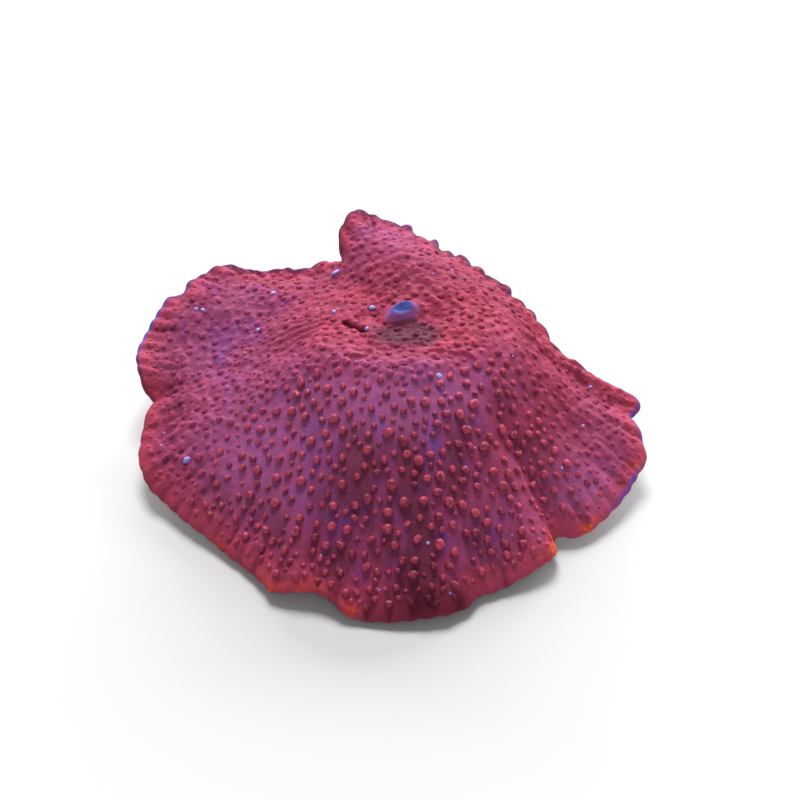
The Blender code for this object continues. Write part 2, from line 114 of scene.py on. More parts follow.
# The disc's form: angle, then the height of its upper side at each of these shares of the margin's reach.
STATIONS = (0.15, 0.30, 0.45, 0.60, 0.75, 0.90)
SECTIONS = np.array(
    [
        (-165.0, 16.7, 16.4, 13.9, 10.8, 8.1, 5.4),
        (-145.0, 17.1, 17.2, 14.8, 11.3, 7.9, 4.6),
        (-120.0, 17.6, 17.9, 15.5, 12.0, 8.2, 4.2),
        (-90.0, 17.9, 18.4, 16.0, 12.5, 8.5, 4.1),
        (-65.0, 17.6, 17.9, 15.8, 12.4, 8.5, 4.6),
        (-46.0, 17.3, 17.6, 15.9, 12.4, 8.3, 4.3),
        (-31.0, 17.3, 17.5, 15.8, 11.8, 7.9, 5.0),
        (-15.0, 17.1, 17.4, 15.9, 12.2, 8.6, 6.1),
        (-6.0, 17.0, 17.3, 16.2, 12.8, 9.0, 6.4),
        (0.5, 17.0, 17.2, 16.6, 14.6, 11.2, 8.2),
        (9.0, 17.0, 17.2, 17.0, 16.0, 13.8, 11.4),
        (17.5, 17.0, 17.2, 17.1, 16.4, 14.9, 12.9),
        (31.0, 17.0, 17.2, 17.2, 16.8, 15.7, 14.2),
        (47.0, 17.0, 17.3, 17.4, 17.1, 16.2, 14.9),
        (72.0, 16.9, 17.3, 17.6, 17.5, 16.9, 15.9),
        (90.0, 16.8, 17.2, 17.6, 17.8, 17.4, 16.7),
        (105.0, 16.6, 16.7, 16.8, 16.9, 16.9, 17.0),
        (112.0, 16.5, 16.4, 16.3, 16.2, 16.2, 16.4),
        (116.5, 16.4, 16.2, 16.0, 15.8, 15.6, 15.8),
        (120.0, 16.3, 16.0, 15.6, 15.2, 14.6, 13.4),
        (131.0, 16.2, 15.5, 14.7, 13.8, 12.7, 11.4),
        (145.0, 16.1, 15.2, 13.9, 12.5, 11.2, 10.4),
        (160.0, 16.0, 15.2, 13.2, 11.2, 10.2, 9.8),
        (178.0, 16.2, 15.7, 13.2, 10.2, 8.3, 7.5),
    ]
)

# Narrow clefts where two lobes of the margin meet: angle, depth, half width in degrees, and the share of the
# reach where each one starts.
CLEFTS = (
    (-52.5, 0.9, 1.8, 0.88),
    (118.5, 1.5, 2.2, 0.84),
    (182.0, 1.0, 2.5, 0.82),
)

# Soft folds that run down the drape: angle, height (valleys are negative), half width in degrees.
FOLDS = (
    (-131.0, -0.5, 8.0),
    (-112.0, 0.45, 6.0),
    (-99.0, -0.4, 5.0),
    (-84.0, 0.4, 6.0),
    (-71.0, -0.45, 5.0),
    (-58.0, 0.4, 5.0),
    (-14.0, 0.35, 5.0),
    (-6.0, -0.5, 4.0),
    (152.0, 0.4, 7.0),
    (167.0, -0.5, 6.0),
    (-172.0, 0.4, 5.0),
)
FOLD_START = 0.45
FOLD_FULL = 0.85

# The mouth: a soft oval lip on a low cone, closed and a little hollow. The lip falls off between two
# shares of its half sizes.
CONE_RADIUS = 3.1
CONE_TOP = 0.8
CONE_HEIGHT = 1.6
LIP_MIDDLE = MOUTH + (-0.35, 0.35)
LIP_HALF_LENGTH = 1.6
LIP_HALF_WIDTH = 1.2
LIP_TURN = math.radians(20.0)
LIP_HEIGHT = 0.4
LIP_EDGE = (0.7, 1.25)
HOLLOW_DEPTH = 0.16
HOLLOW_SHARE = 0.5

# The disc's flesh, which is full up to a share of the reach and thins to the edge, with low ridges below.
FLESH_THICKNESS = 3.0
THINNING_START = 0.45
FLOOR_GAP = 0.35
UNDER_RIDGES = 44
UNDER_RIDGE_HEIGHT = 0.16

# The foot, which is a little oval and a little three-sided, and the stalk that widens upwards from it.
FOOT_RADIUS = 11.5
FOOT_OVAL = 0.06
FOOT_THREE_SIDED = 0.035
STALK_FLARE = 3.2
STALK_HEIGHT = 14.0
STALK_CURVE = 0.8
STALK_BLEND = 1.2
STALK_FLUTES = 31
STALK_FLUTE_DEPTH = 0.07
STALK_WRINKLE_DEPTH = 0.28
STALK_WRINKLE_SIZE = 2.4

# A crease in the crown beside the mouth: its two ends, depth and half width. Knobs stand only where the
# crease is shallower, and the share of a ridge smaller, than the two limits below.
CREASE_ENDS = np.array([(-6.9, 4.9), (-4.7, 2.5)])
CREASE_DEPTH = 1.0
CREASE_HALF_WIDTH = 0.37
CREASE_CLEAR = 0.08
RIDGE_CLEAR = 0.3

# The front of the drape, where the knobs are large: the angle of its middle, how far to each side it is
# full and where it ends, and the shares of the reach between which it begins.
FRONT_ANGLE = -92.0
FRONT_FULL = 28.0
FRONT_END = 82.0
FRONT_START_SHARE = 0.28
FRONT_FULL_SHARE = 0.5

# The raised brim at the back and right, whose scallops are wide and deep: first and last angle.
BRIM = (6.0, 92.0)
BRIM_FADE = 8.0

# Soft patches on the disc: angle, share of the reach, half width in degrees, half width in shares, strength.
CALM_PATCHES = (
    (-24.0, 0.92, 24.0, 0.22, 0.75),
    (160.0, 0.80, 30.0, 0.26, 0.55),
    (85.0, 0.80, 40.0, 0.40, 0.85),
)
VIOLET_PATCHES = (
    (-92.0, 0.45, 44.0, 0.13, 1.0),
    (-95.0, 0.68, 36.0, 0.24, 0.75),
    (-70.0, 0.86, 14.0, 0.12, 0.35),
    (-140.0, 0.62, 26.0, 0.24, 0.8),
    (165.0, 0.70, 22.0, 0.22, 0.75),
    (-22.0, 0.84, 18.0, 0.12, 0.2),
    (105.0, 0.85, 16.0, 0.16, 0.35),
)

# Patches where the front margin is gathered, which get painted shade.
GATHERED_SHADE_PATCHES = (
    (-86.0, 0.97, 5.0, 0.05, 1.0),
    (-79.5, 0.985, 3.0, 0.035, 0.9),
    (-93.0, 0.99, 5.0, 0.03, 0.5),
)
HAZE_PATCHES = (
    (-92.0, 0.43, 52.0, 0.11, 1.0),
    (-140.0, 0.70, 22.0, 0.2, 0.9),
    (168.0, 0.72, 24.0, 0.26, 0.35),
    (-26.0, 0.84, 16.0, 0.16, 0.25),
    (-38.0, 0.94, 10.0, 0.14, 1.0),
    (-62.0, 0.84, 12.0, 0.2, 0.4),
    (100.0, 0.80, 24.0, 0.3, 0.4),
)
FLUSH_PATCHES = (
    (-38.0, 0.28, 26.0, 0.12, 0.9),
    (8.0, 0.42, 26.0, 0.2, 0.6),
    (-128.0, 0.33, 22.0, 0.1, 0.7),
    (-168.0, 0.30, 22.0, 0.12, 0.7),
    (110.0, 0.94, 10.0, 0.08, 0.7),
    (128.0, 0.40, 26.0, 0.2, 0.6),
    (-62.0, 0.80, 14.0, 0.24, 0.9),
)

# Patches of the margin with painted orange glints, and of the rim with a painted blue shine: angle, half
# width in degrees, strength.
ORANGE_GLINT_PATCHES = (
    (-162.0, 3.5, 0.6),
    (168.0, 4.0, 0.8),
    (-178.0, 5.0, 0.7),
    (-134.0, 5.0, 0.7),
    (-118.0, 4.5, 0.9),
    (-110.0, 4.5, 0.9),
    (-100.5, 3.0, 1.0),
    (-59.0, 4.5, 1.0),
    (-54.0, 3.5, 1.0),
    (-42.0, 5.0, 0.9),
    (-29.0, 3.5, 0.7),
    (-22.0, 4.0, 1.0),
    (-5.0, 4.0, 0.4),
)
BLUE_SHINE_PATCHES = ((165.0, 9.0, 1.0), (-28.0, 6.0, 0.7), (-12.0, 6.0, 0.5), (-2.0, 5.0, 0.5))

# The thin dark line along the rim, which under the rolled edge is painted shade: sines of the angles between
# which it climbs onto the rim's upper side, and how far inland it reaches there, at the sides and at the
# back.
LINE_FRONT = -0.45
LINE_BACK = 0.25
LINE_REACH = (0.5, 1.3)

# The steep left side of the flap, where the line is narrower: angle, half width in degrees, share lost.
FLAP_SIDE_ANGLE = 116.5
FLAP_SIDE_HALF_ANGLE = 7.0
FLAP_SIDE_NARROWING = 0.75

# The brown bruise on the front of the mouth's cone: its middle and its half widths.
BRUISE_ANGLE = -86.0
BRUISE_HALF_ANGLE = 52.0
BRUISE_DISTANCE = 3.3
BRUISE_HALF_DISTANCE = 3.1

# Ridges of fused knobs along the crest: their points in plan, height and half width.
RIDGES = (
    ((-15.2, -3.6), (-13.6, -2.7), (-12.2, -3.1), (-10.6, -2.6), (-9.4, -2.9), (-8.2, -2.1)),
    ((-7.4, -3.2), (-6.0, -2.6), (-4.8, -3.0)),
    ((2.6, -2.3), (3.9, -1.8), (5.4, -2.3), (6.9, -1.9), (8.3, -2.6)),
    ((9.6, -3.0), (10.8, -4.0), (12.0, -4.6)),
)
RIDGE_HEIGHT = 0.3
RIDGE_HALF_WIDTH = 0.25

# Wrinkles that run sideways on the crown's left: distance and angle of their middle, half widths, spacing,
# and how far they wander and over what length.
RIPPLE_DISTANCE = 12.5
RIPPLE_HALF_DISTANCE = 3.6
RIPPLE_ANGLE = 178.0
RIPPLE_HALF_ANGLE = 17.0
RIPPLE_SPACING = 1.35
RIPPLE_HEIGHT = 0.15
RIPPLE_WANDER = 0.5
RIPPLE_WANDER_SIZE = 3.0

# Flutes that run out between the scallops, higher along the brim, and the share of a scallop's crest at
# which they neither rise nor sink.
FLUTE_HEIGHT = 0.16
BRIM_FLUTE_EXTRA = 0.1
FLUTE_LEVEL = 0.6

# Soft lumps of the skin: height, size, and the shift of their noise.
LUMPS = ((0.2, 3.2, 3.0), (0.12, 1.3, 8.0))

# Uneven streaks that run out to the margin: how many lie in a scallop, their length and height, and how dark
# the painted shade in their hollows is.
STREAKS_A_SCALLOP = 1.9
STREAK_LENGTH = 5.0
STREAK_HEIGHT = 0.3
STREAK_HOLLOW_SHADE = 0.5

# Pebbles: soft low bumps of the skin itself, which crowd the crown and fade out where the large knobs stand.
PEBBLE_TRIALS = 26000
PEBBLE_SPACING = 1.08
PEBBLE_RADIUS = 0.41
PEBBLE_VARIES = (0.75, 1.3)
PEBBLE_STRENGTHS = (0.3, 1.0)
PEBBLE_STRETCH = 1.35
PEBBLE_HEIGHT = 0.42
PEBBLE_CALM = 0.5
PEBBLE_FRONT_FADE = 0.88
PEBBLE_RIPPLE_FADE = 0.85
WEAKEST_PEBBLE = 0.05
PEBBLE_CLEAR_OF_MOUTH = 2.2
PEBBLE_REACH = 1.3
# Below this pebble relief the pits between the pebbles get painted shade.
PIT_LEVEL = 0.42

# Pleats where the front margin is gathered: angle, depth, half width in degrees, share where it starts.
PLEATS = (
    (-97.5, 0.7, 0.9, 0.9),
    (-93.0, 0.8, 0.8, 0.91),
    (-88.5, 0.8, 0.9, 0.9),
    (-84.5, 0.6, 0.7, 0.92),
    (-79.0, 0.6, 0.8, 0.92),
    (-104.0, 0.5, 0.8, 0.92),
)

# Knobs are set in two rounds, large ones first and then small ones between them. They are smaller and
# closer together near the margin, and lower on the crown.
KNOB_TRIALS = 30000
KNOB_FIELD = ((-34.0, -30.0), (31.0, 27.0))
KNOB_CLEAR_OF_MOUTH = 2.5
KNOB_VARIES = (0.62, 1.24)
GAP_VARIES = (0.7, 1.2)
CLUSTER_SIZE = 2.6
CLUSTER_SHARE = 0.85
SMALL_SHARE = 0.66
SMALL_SPACING_SHARE = 0.78
SMALLEST_KNOB = 0.2
SMALLEST_ON_FRONT = 0.1
CALM_SHRINK = 0.12
CALM_SINK = 0.55
CALM_SPREAD = 0.25
NEAR_MARGIN = (0.84, 0.97)
MARGIN_SHRINK = 0.28
MARGIN_CROWDING = 0.3
CROWN_RISE = 0.5
KNOB_GAP = 0.1
KNOB_OVAL = 0.07
KNOB_LEVELNESS = 0.45

# Knobs of like size and rise are raised together: upper limit of the radius, sides. The first class counts
# as this wide, and none counts as wider than the second width.
KNOB_CLASSES = ((0.30, 7), (0.40, 8), (0.50, 10), (0.62, 12), (9.0, 12))
RISE_CLASSES = (0.45, 0.7, 0.95)
FIRST_CLASS_WIDTH = 0.06
WIDEST_CLASS = 0.14

# How a knob is raised, in shares of its radius: inset, rise, swell, and how much of the knob's colour it has.
# Where that share is low, at a knob's foot, the knobs on the drape get painted shade.
KNOB_STEPS = (
    (0.15, 0.05, 0.0, 0.3),
    (0.0, 0.38, 0.08, 0.6),
    (0.23, 0.33, 0.0, 0.9),
    (0.33, 0.14, 0.0, 1.0),
)
SMALL_STEPS = (
    (0.12, 0.10, 0.0, 0.3),
    (0.04, 0.30, 0.03, 0.7),
    (0.34, 0.30, 0.0, 1.0),
)
SMALL_LIMIT = 0.40

# How finely the skin is laid out.
RIM_SPACING = 0.29
ROLL_RADIUS = 0.45
ROLL_STEPS = (0.04, 0.13, 0.27, 0.46)
FILL_SPACING = 0.5
PEBBLE_FILL_SPACING = 0.21
FILL_CLEAR_OF_KNOB = 0.13
FILL_CLEAR_OF_ROLL = 0.14
MOUTH_SPACING = 0.22
FINE_FRONT = 0.75
FINE_SHARE = 0.9
MOUTH_FIELD = 3.1
UNDER_SPACING = 1.1
FOOT_POINTS = 90
STALK_SPACING = 0.42
STALK_FIELD = 4.5
SLOPE_STEP = 0.25
FINE_ANGLES = np.arange(0.0, 360.0, 0.1)

# What the tissue's colours follow, as values at the mesh's points.
MARKS = (
    "knob", "inland", "under", "violet", "orange", "blue_shine", "mouth", "bruise",
    "crease_shade", "pit", "line", "front", "flush", "haze", "hollow_shade", "flute",
)

# The places of the share and the two colours among a colour mix node's inputs, and of its result.
MIX_INPUTS = (0, 6, 7)
MIX_RESULT = 2

# The camera, whose eye lies in front of and above the coral and looks along +Y.
CAMERA_TARGET = Vector((-0.0006, 0.0005, 0.008))
FRAME_PIXELS = 800
SENSOR_WIDTH = 36.0
FLOOR_DROP = 0.00003

# Specks of pale grit that stick to the skin: where each one shows, in the frame's pixels, and its radius
# in mm.
SPECKS = (
    (439, 376, 0.38), (187, 460, 0.42), (336, 273, 0.60), (334, 312, 0.36), (372, 308, 0.40),
    (367, 329, 0.32), (258, 330, 0.28), (273, 293, 0.38), (203, 310, 0.34), (196, 309, 0.22),
    (310, 378, 0.15), (356, 361, 0.12), (475, 448, 0.18), (466, 467, 0.15), (428, 543, 0.18),
    (450, 593, 0.16), (562, 468, 0.20), (590, 387, 0.26), (583, 426, 0.24), (379, 590, 0.20),
    (321, 555, 0.12), (292, 532, 0.10), (164, 433, 0.18), (161, 445, 0.14), (233, 469, 0.10),
    (512, 535, 0.14), (513, 356, 0.12), (446, 347, 0.10), (433, 274, 0.16), (452, 270, 0.14),
    (442, 388, 0.12), (395, 369, 0.10),
)
GRIT_SEED = 5
GRIT_LEAST_SCALE = (0.8, 0.7, 0.4)
GRIT_MOST_SCALE = (1.35, 1.1, 0.6)
GRIT_LIFT = 0.1


def smooth_step(low, high, x):
    t = np.clip((x - low) / (high - low), 0.0, 1.0)
    return t * t * (3.0 - 2.0 * t)


def slopes_without_overshoot(places, rows):
    """The slope at each place of curves through the rows, flat at each high or low point."""
    chords = np.diff(rows, axis=-1) / np.diff(places)
    before, after = chords[..., :-1], chords[..., 1:]
    same_way = before * after > 0
    total = np.where(same_way, before + after, 1.0)
    inner = np.where(same_way, 2.0 * before * after / total, 0.0)
    return np.concatenate([chords[..., :1], inner, chords[..., -1:]], axis=-1)


def curve_at(places, rows, x):
    """Reads each row's smooth curve at its own x."""
    slopes = slopes_without_overshoot(places, rows)
    left = np.clip(np.searchsorted(places, x, side="right") - 1, 0, len(places) - 2)
    width = places[left + 1] - places[left]
    t = (x - places[left]) / width
    row = np.arange(len(x))
    start, end = rows[row, left], rows[row, left + 1]
    start_slope, end_slope = slopes[row, left] * width, slopes[row, left + 1] * width
    return (
        start * (1 + 2 * t) * (1 - t) ** 2
        + start_slope * t * (1 - t) ** 2
        + end * t * t * (3 - 2 * t)
        + end_slope * t * t * (t - 1)
    )


def read_round(table):
    """Reads every column of a table that runs round the mouth, at each of the fine angles."""
    order = np.argsort(table[:, 0] % 360.0)
    turned = table[order]
    turned[:, 0] %= 360.0
    whole_turn = np.array([360.0] + [0.0] * (table.shape[1] - 1))
    padded = np.concatenate([turned[-2:] - whole_turn, turned, turned[:2] + whole_turn])
    columns = [
        curve_at(padded[:, 0], np.broadcast_to(column, (len(FINE_ANGLES), len(column))), FINE_ANGLES)
        for column in padded[:, 1:].T
    ]
    return np.stack(columns, axis=1)


def angle_gap(angle, other):
    return (angle - other + 180.0) % 360.0 - 180.0


def eased_reach():
    """The margin's reach at each whole degree, evened out along the margin."""
    whole = np.arange(360.0)
    reach = np.interp(whole, FINE_ANGLES, MARGIN_ROUND[:, 0])
    weight = np.exp(-0.5 * (angle_gap(whole[:, None], whole) / EASE_WIDTH) ** 2)
    return weight @ reach / weight.sum(axis=1)


MARGIN_ROUND = read_round(MARGIN)
SECTIONS_ROUND = read_round(SECTIONS)
EASED_REACH = eased_reach()


def at_angle(columns, angle):
    """Columns that were read round the mouth, at these angles."""
    return np.stack([np.interp(angle, FINE_ANGLES, column, period=360.0) for column in columns.T], axis=1)


def about_mouth(points):
    """Angle about the mouth, distance from it, and share of the margin's reach, for points in plan."""
    away = points - MOUTH
    distance = np.hypot(away[:, 0], away[:, 1])
    angle = np.degrees(np.arctan2(away[:, 1], away[:, 0]))
    reach = at_angle(MARGIN_ROUND, angle)[:, 0]
    return angle, distance, distance / reach


def hump(gap, half_width, other_gap=0.0, other_half_width=1.0):
    """One in the middle of a soft hump and nought away from it, for places this far from its middle."""
    return np.exp(-((gap / half_width) ** 2 + (other_gap / other_half_width) ** 2))


def soft_patches(patches, angle, share):
    """How strongly soft patches of the disc cover these places."""
    bare = np.ones(len(angle))
    for middle, middle_share, half_angle, half_share, strength in patches:
        cover = hump(angle_gap(angle, middle), half_angle, share - middle_share, half_share)
        bare *= 1.0 - strength * cover
    return 1.0 - bare


def rim_patches(patches, angle):
    """How strongly soft patches of the margin cover these angles."""
    bare = np.ones(len(angle))
    for middle, half_angle, strength in patches:
        bare *= 1.0 - strength * hump(angle_gap(angle, middle), half_angle)
    return 1.0 - bare


def brim_share(angle):
    """One along the raised brim at the back and right, nought elsewhere."""
    middle, half = (BRIM[0] + BRIM[1]) / 2, (BRIM[1] - BRIM[0]) / 2
    return 1.0 - smooth_step(half - BRIM_FADE / 2, half + BRIM_FADE / 2, np.abs(angle_gap(angle, middle)))


def distance_to_line(points, start, end):
    """Distance in plan from each point to the straight line between two ends."""
    start, run = np.array(start), np.array(end) - np.array(start)
    along = np.clip((points - start) @ run / (run @ run), 0.0, 1.0)
    return np.linalg.norm(points - start - along[:, None] * run, axis=1)


def crease_depth(points):
    """How far the crease beside the mouth pulls the crown down."""
    return CREASE_DEPTH * hump(distance_to_line(points, *CREASE_ENDS), CREASE_HALF_WIDTH)


def ridge_share(points):
    """One on the ridges of the crest, nought away from them."""
    aside = np.min(
        [distance_to_line(points, *ends) for ridge in RIDGES for ends in zip(ridge, ridge[1:])], axis=0
    )
    return hump(aside, RIDGE_HALF_WIDTH)


def disc_height(points, thickness):
    """Height of the disc's upper side without its knobs, its mouth and its fine relief."""
    angle, distance, share = about_mouth(points)
    eased = distance / np.interp(angle, np.arange(360.0), EASED_REACH, period=360.0)
    share = np.clip(eased + (share - eased) * smooth_step(EASE_START, 1.0, share), 0.0, 1.0)
    margin_height = at_angle(MARGIN_ROUND, angle)[:, 1:] + thickness / 2
    inner = at_angle(SECTIONS_ROUND, angle)
    centre = np.full((len(points), 1), BASIN_HEIGHT)
    rows = np.concatenate([centre, inner, margin_height], axis=1)
    height = curve_at(np.array((0.0,) + STATIONS + (1.0,)), rows, share)
    down_the_drape = smooth_step(FOLD_START, FOLD_FULL, share)
    for fold_angle, rise, half_width in FOLDS:
        height += rise * hump(angle_gap(angle, fold_angle), half_width) * down_the_drape
    for cleft_angle, depth, half_width, start in CLEFTS:
        height -= depth * hump(angle_gap(angle, cleft_angle), half_width) * smooth_step(start, 1.0, share)
    return np.maximum(height, FLOOR_GAP + thickness)


def mouth_oval(points):
    """Place along the mouth's lip, across it, and distance from its middle in shares of its half sizes."""
    away = points - LIP_MIDDLE
    along = away[:, 0] * math.cos(LIP_TURN) + away[:, 1] * math.sin(LIP_TURN)
    across = away[:, 1] * math.cos(LIP_TURN) - away[:, 0] * math.sin(LIP_TURN)
    return along, across, np.hypot(along / LIP_HALF_LENGTH, across / LIP_HALF_WIDTH)


def mouth_height(points):
    """Height that the oral cone and its hollow lip add."""
    along, across, oval = mouth_oval(points)
    cone = CONE_HEIGHT * (1.0 - smooth_step(CONE_TOP, CONE_RADIUS, np.hypot(along, across)))
    lip = LIP_HEIGHT * (1.0 - smooth_step(*LIP_EDGE, oval))
    return cone + lip - HOLLOW_DEPTH * hump(oval, HOLLOW_SHARE)


def noise_at(points, size, shift):
    """Smooth noise from -1 to 1 with lumps of this size, at points in plan. Each use has its own shift."""
    return np.array([noise.noise(Vector((x / size, y / size, shift))) for x, y in points])


class Scallops:
    """The margin's scallops, whose width follows the outline's length and not its angle."""

    def __init__(self, sizes):
        turn = np.radians(FINE_ANGLES)
        reach = MARGIN_ROUND[:, :1]
        outline = MOUTH + reach * np.column_stack([np.cos(turn), np.sin(turn)])
        step = np.linalg.norm(np.roll(outline, -1, axis=0) - outline, axis=1)
        self.length = np.concatenate([[0.0], np.cumsum(step)])
        brim = brim_share(FINE_ANGLES)
        width = (sizes.rim_scallop + (sizes.brim_scallop - sizes.rim_scallop) * brim) / MM
        uneven = 0.28 * np.sin(3.0 * turn + 1.0) * np.sin(11.0 * turn) + 0.18 * np.sin(23.0 * turn + 2.0)
        uneven = 1.0 + uneven * (1.0 - 0.5 * brim)
        phase = np.concatenate([[0.0], np.cumsum(step / (width * uneven))])
        self.phase = phase * round(phase[-1]) / phase[-1]
        self.round = np.append(FINE_ANGLES, 360.0)

    def phase_at(self, angle):
        """How many scallops lie along the outline up to these angles."""
        return np.interp(angle % 360.0, self.round, self.phase)

    def crest(self, angle):
        """One on the crest of each scallop and nought in the notch between two."""
        return np.abs(np.sin(np.pi * self.phase_at(angle)))

    def angles(self, spacing):
        """Angles of points that lie this far apart along the outline."""
        count = round(self.length[-1] / spacing)
        return np.interp(np.arange(count) * self.length[-1] / count, self.length, self.round)


def ripple_window(angle, distance):
    """One in the middle of the wrinkles on the crown's left, nought away from them."""
    along = distance - RIPPLE_DISTANCE
    return hump(along, RIPPLE_HALF_DISTANCE, angle_gap(angle, RIPPLE_ANGLE), RIPPLE_HALF_ANGLE)


def scatter_pebbles(sizes):
    """Middle in plan, radius and height of every pebble of the skin."""
    chance = np.random.RandomState(sizes.seed + 1)
    points = chance.uniform(*KNOB_FIELD, size=(PEBBLE_TRIALS, 2))
    vary = chance.uniform(*PEBBLE_VARIES, PEBBLE_TRIALS)
    strength = chance.uniform(*PEBBLE_STRENGTHS, PEBBLE_TRIALS)
    angle, distance, share = about_mouth(points)
    strength *= 1.0 - PEBBLE_FRONT_FADE * frontness(angle, share) * (1.0 - smooth_step(0.88, 0.94, share))
    strength *= 1.0 - smooth_step(0.94, 1.0, share)
    strength *= 1.0 - PEBBLE_CALM * soft_patches(CALM_PATCHES, angle, share)
    strength *= 1.0 - PEBBLE_RIPPLE_FADE * ripple_window(angle, distance)
    strength *= 1.0 - smooth_step(0.1, 0.6, crease_depth(points) / CREASE_DEPTH)
    keep = (share < 0.97) & (distance > PEBBLE_CLEAR_OF_MOUTH) & (strength > WEAKEST_PEBBLE)
    points, vary, strength = points[keep], vary[keep], strength[keep]
    bumps = np.column_stack([points, np.zeros((len(points), 4)), PEBBLE_SPACING * vary])
    kept = stand_clear(bumps, bumps[:0])
    return points[kept], PEBBLE_RADIUS * vary[kept], strength[kept]


def plant_tree(points):
    """A search tree over points in plan."""
    tree = kdtree.KDTree(len(points))
    for index, (x, y) in enumerate(points):
        tree.insert((x, y, 0.0), index)
    tree.balance()
    return tree


def pebble_relief(points, pebbles):
    """How far the pebbles raise the skin at each point, from 0 in a pit to about 1 on a pebble."""
    middles, radii, strengths = pebbles
    tree = plant_tree(middles)
    raised = np.zeros(len(points))
    for index, (x, y) in enumerate(points):
        away_x, away_y = x - MOUTH[0], y - MOUTH[1]
        distance = math.hypot(away_x, away_y) or 1.0
        total = 0.0
        for (middle_x, middle_y, _), which, _ in tree.find_range((x, y, 0.0), PEBBLE_REACH):
            off_x, off_y = x - middle_x, y - middle_y
            outward = (off_x * away_x + off_y * away_y) / distance
            sideways = (off_y * away_x - off_x * away_y) / distance
            size = radii[which]
            off = (outward / size) ** 2 + (sideways / (size * PEBBLE_STRETCH)) ** 2
            total += strengths[which] * math.exp(-off)
        raised[index] = total
    return raised


def pleat_depth(angle, share):
    """How deep the pleats of the front margin are at these places."""
    pleats = np.zeros(len(angle))
    for pleat_angle, depth, half_width, start in PLEATS:
        pleats += depth * hump(angle_gap(angle, pleat_angle), half_width) * smooth_step(start, 1.0, share)
    return pleats


class Skin:
    """What the skin's relief needs: the edge's thickness, scallops, outline and roll, and the pebbles."""

    def __init__(self, sizes):
        self.thickness = sizes.edge_thickness / MM
        self.scallops = Scallops(sizes)
        self.pebbles = scatter_pebbles(sizes)
        self.rim, self.roll = rim_rings(self.scallops, sizes)

    def streak_noise(self, points):
        """Uneven streaks that run out to the margin, from -1 to 1."""
        angle, distance, share = about_mouth(points)
        phase = self.scallops.phase_at(angle)
        along = np.column_stack([phase * STREAKS_A_SCALLOP, distance / STREAK_LENGTH])
        return noise_at(along, 1.0, 5.0) * smooth_step(0.72, 0.95, share)

    def streaks(self, points):
        """How dark the painted shade in the hollows of the streaks is."""
        return STREAK_HOLLOW_SHADE * smooth_step(-0.05, -0.45, self.streak_noise(points))

    def relief(self, points):
        """Height that flutes, wrinkles, pebbles, pleats and soft lumps add to the skin."""
        angle, distance, share = about_mouth(points)
        flute_height = FLUTE_HEIGHT + BRIM_FLUTE_EXTRA * brim_share(angle)
        flutes = flute_height * (self.scallops.crest(angle) - FLUTE_LEVEL) * smooth_step(0.80, 0.98, share)
        streaks = STREAK_HEIGHT * self.streak_noise(points)
        rippled = points[:, 1] + RIPPLE_WANDER * noise_at(points, RIPPLE_WANDER_SIZE, 21.0)
        waves = np.cos(2 * np.pi * rippled / RIPPLE_SPACING)
        ripples = RIPPLE_HEIGHT * ripple_window(angle, distance) * waves
        inside = 1.0 - smooth_step(0.93, 1.0, share)
        lumps = sum(height * noise_at(points, size, shift) for height, size, shift in LUMPS)
        pleats = pleat_depth(angle, share)
        pebbles = PEBBLE_HEIGHT * pebble_relief(points, self.pebbles)
        ridges = RIDGE_HEIGHT * ridge_share(points)
        return flutes + streaks + ripples + ridges + lumps * inside + pebbles - pleats - crease_depth(points)

    def height(self, points):
        """Height of the upper skin without its knobs."""
        return disc_height(points, self.thickness) + mouth_height(points) + self.relief(points)


def foot_edge(turn):
    """Radius of the foot's uneven outline at this turn about the origin, in radians."""
    three_sided = FOOT_THREE_SIDED * np.cos(3 * turn - 1.0)
    return FOOT_RADIUS * (1.0 + FOOT_OVAL * np.cos(2 * turn + 0.5) + three_sided)


def stalk_flutes(points):
    """Soft uneven columns that run up the stalk, from -1 to 1."""
    turn = np.arctan2(points[:, 1], points[:, 0])
    return np.cos(STALK_FLUTES * turn + 4.0 * np.sin(3.0 * turn) + 2.4 * np.sin(7.0 * turn + 1.0))


def lower_height(points, edge):
    """Height of the disc's underside and the stalk, which widens upwards from the foot's edge."""
    angle, _, share = about_mouth(points)
    inward = 1.0 - smooth_step(THINNING_START, 1.0, share)
    thickness = edge + (FLESH_THICKNESS - edge) * inward
    ridges = UNDER_RIDGE_HEIGHT * np.cos(np.radians(angle) * UNDER_RIDGES) * smooth_step(0.35, 0.7, share)
    ridges *= 1.0 - smooth_step(0.9, 1.0, share)
    underside = np.maximum(disc_height(points, edge) - thickness + ridges, FLOOR_GAP)
    radius = np.hypot(points[:, 0], points[:, 1])
    turn = np.arctan2(points[:, 1], points[:, 0])
    past_foot = radius - foot_edge(turn)
    wrinkles = STALK_WRINKLE_DEPTH * noise_at(points, STALK_WRINKLE_SIZE, 31.0)
    uneven = STALK_FLUTE_DEPTH * stalk_flutes(points) + wrinkles
    past_foot = np.clip(past_foot - uneven * smooth_step(0.1, 0.9, past_foot), 0.0, None)
    stalk = STALK_HEIGHT * (past_foot / STALK_FLARE) ** STALK_CURVE
    joined = np.exp(-underside / STALK_BLEND) + np.exp(-stalk / STALK_BLEND)
    return np.clip(-STALK_BLEND * np.log(joined), 0.0, underside)


def frame_on_disc(points, thickness):
    """Two directions along the disc's upper side and the one out of it, at each point."""
    east, north = (SLOPE_STEP, 0.0), (0.0, SLOPE_STEP)
    rise_east = disc_height(points + east, thickness) - disc_height(points - east, thickness)
    rise_north = disc_height(points + north, thickness) - disc_height(points - north, thickness)
    outward = np.stack([-rise_east, -rise_north, np.full(len(points), 2 * SLOPE_STEP)], axis=1)
    outward /= np.linalg.norm(outward, axis=1, keepdims=True)
    first = np.stack([outward[:, 2], np.zeros(len(points)), -outward[:, 0]], axis=1)
    first /= np.linalg.norm(first, axis=1, keepdims=True)
    return first, np.cross(outward, first), outward


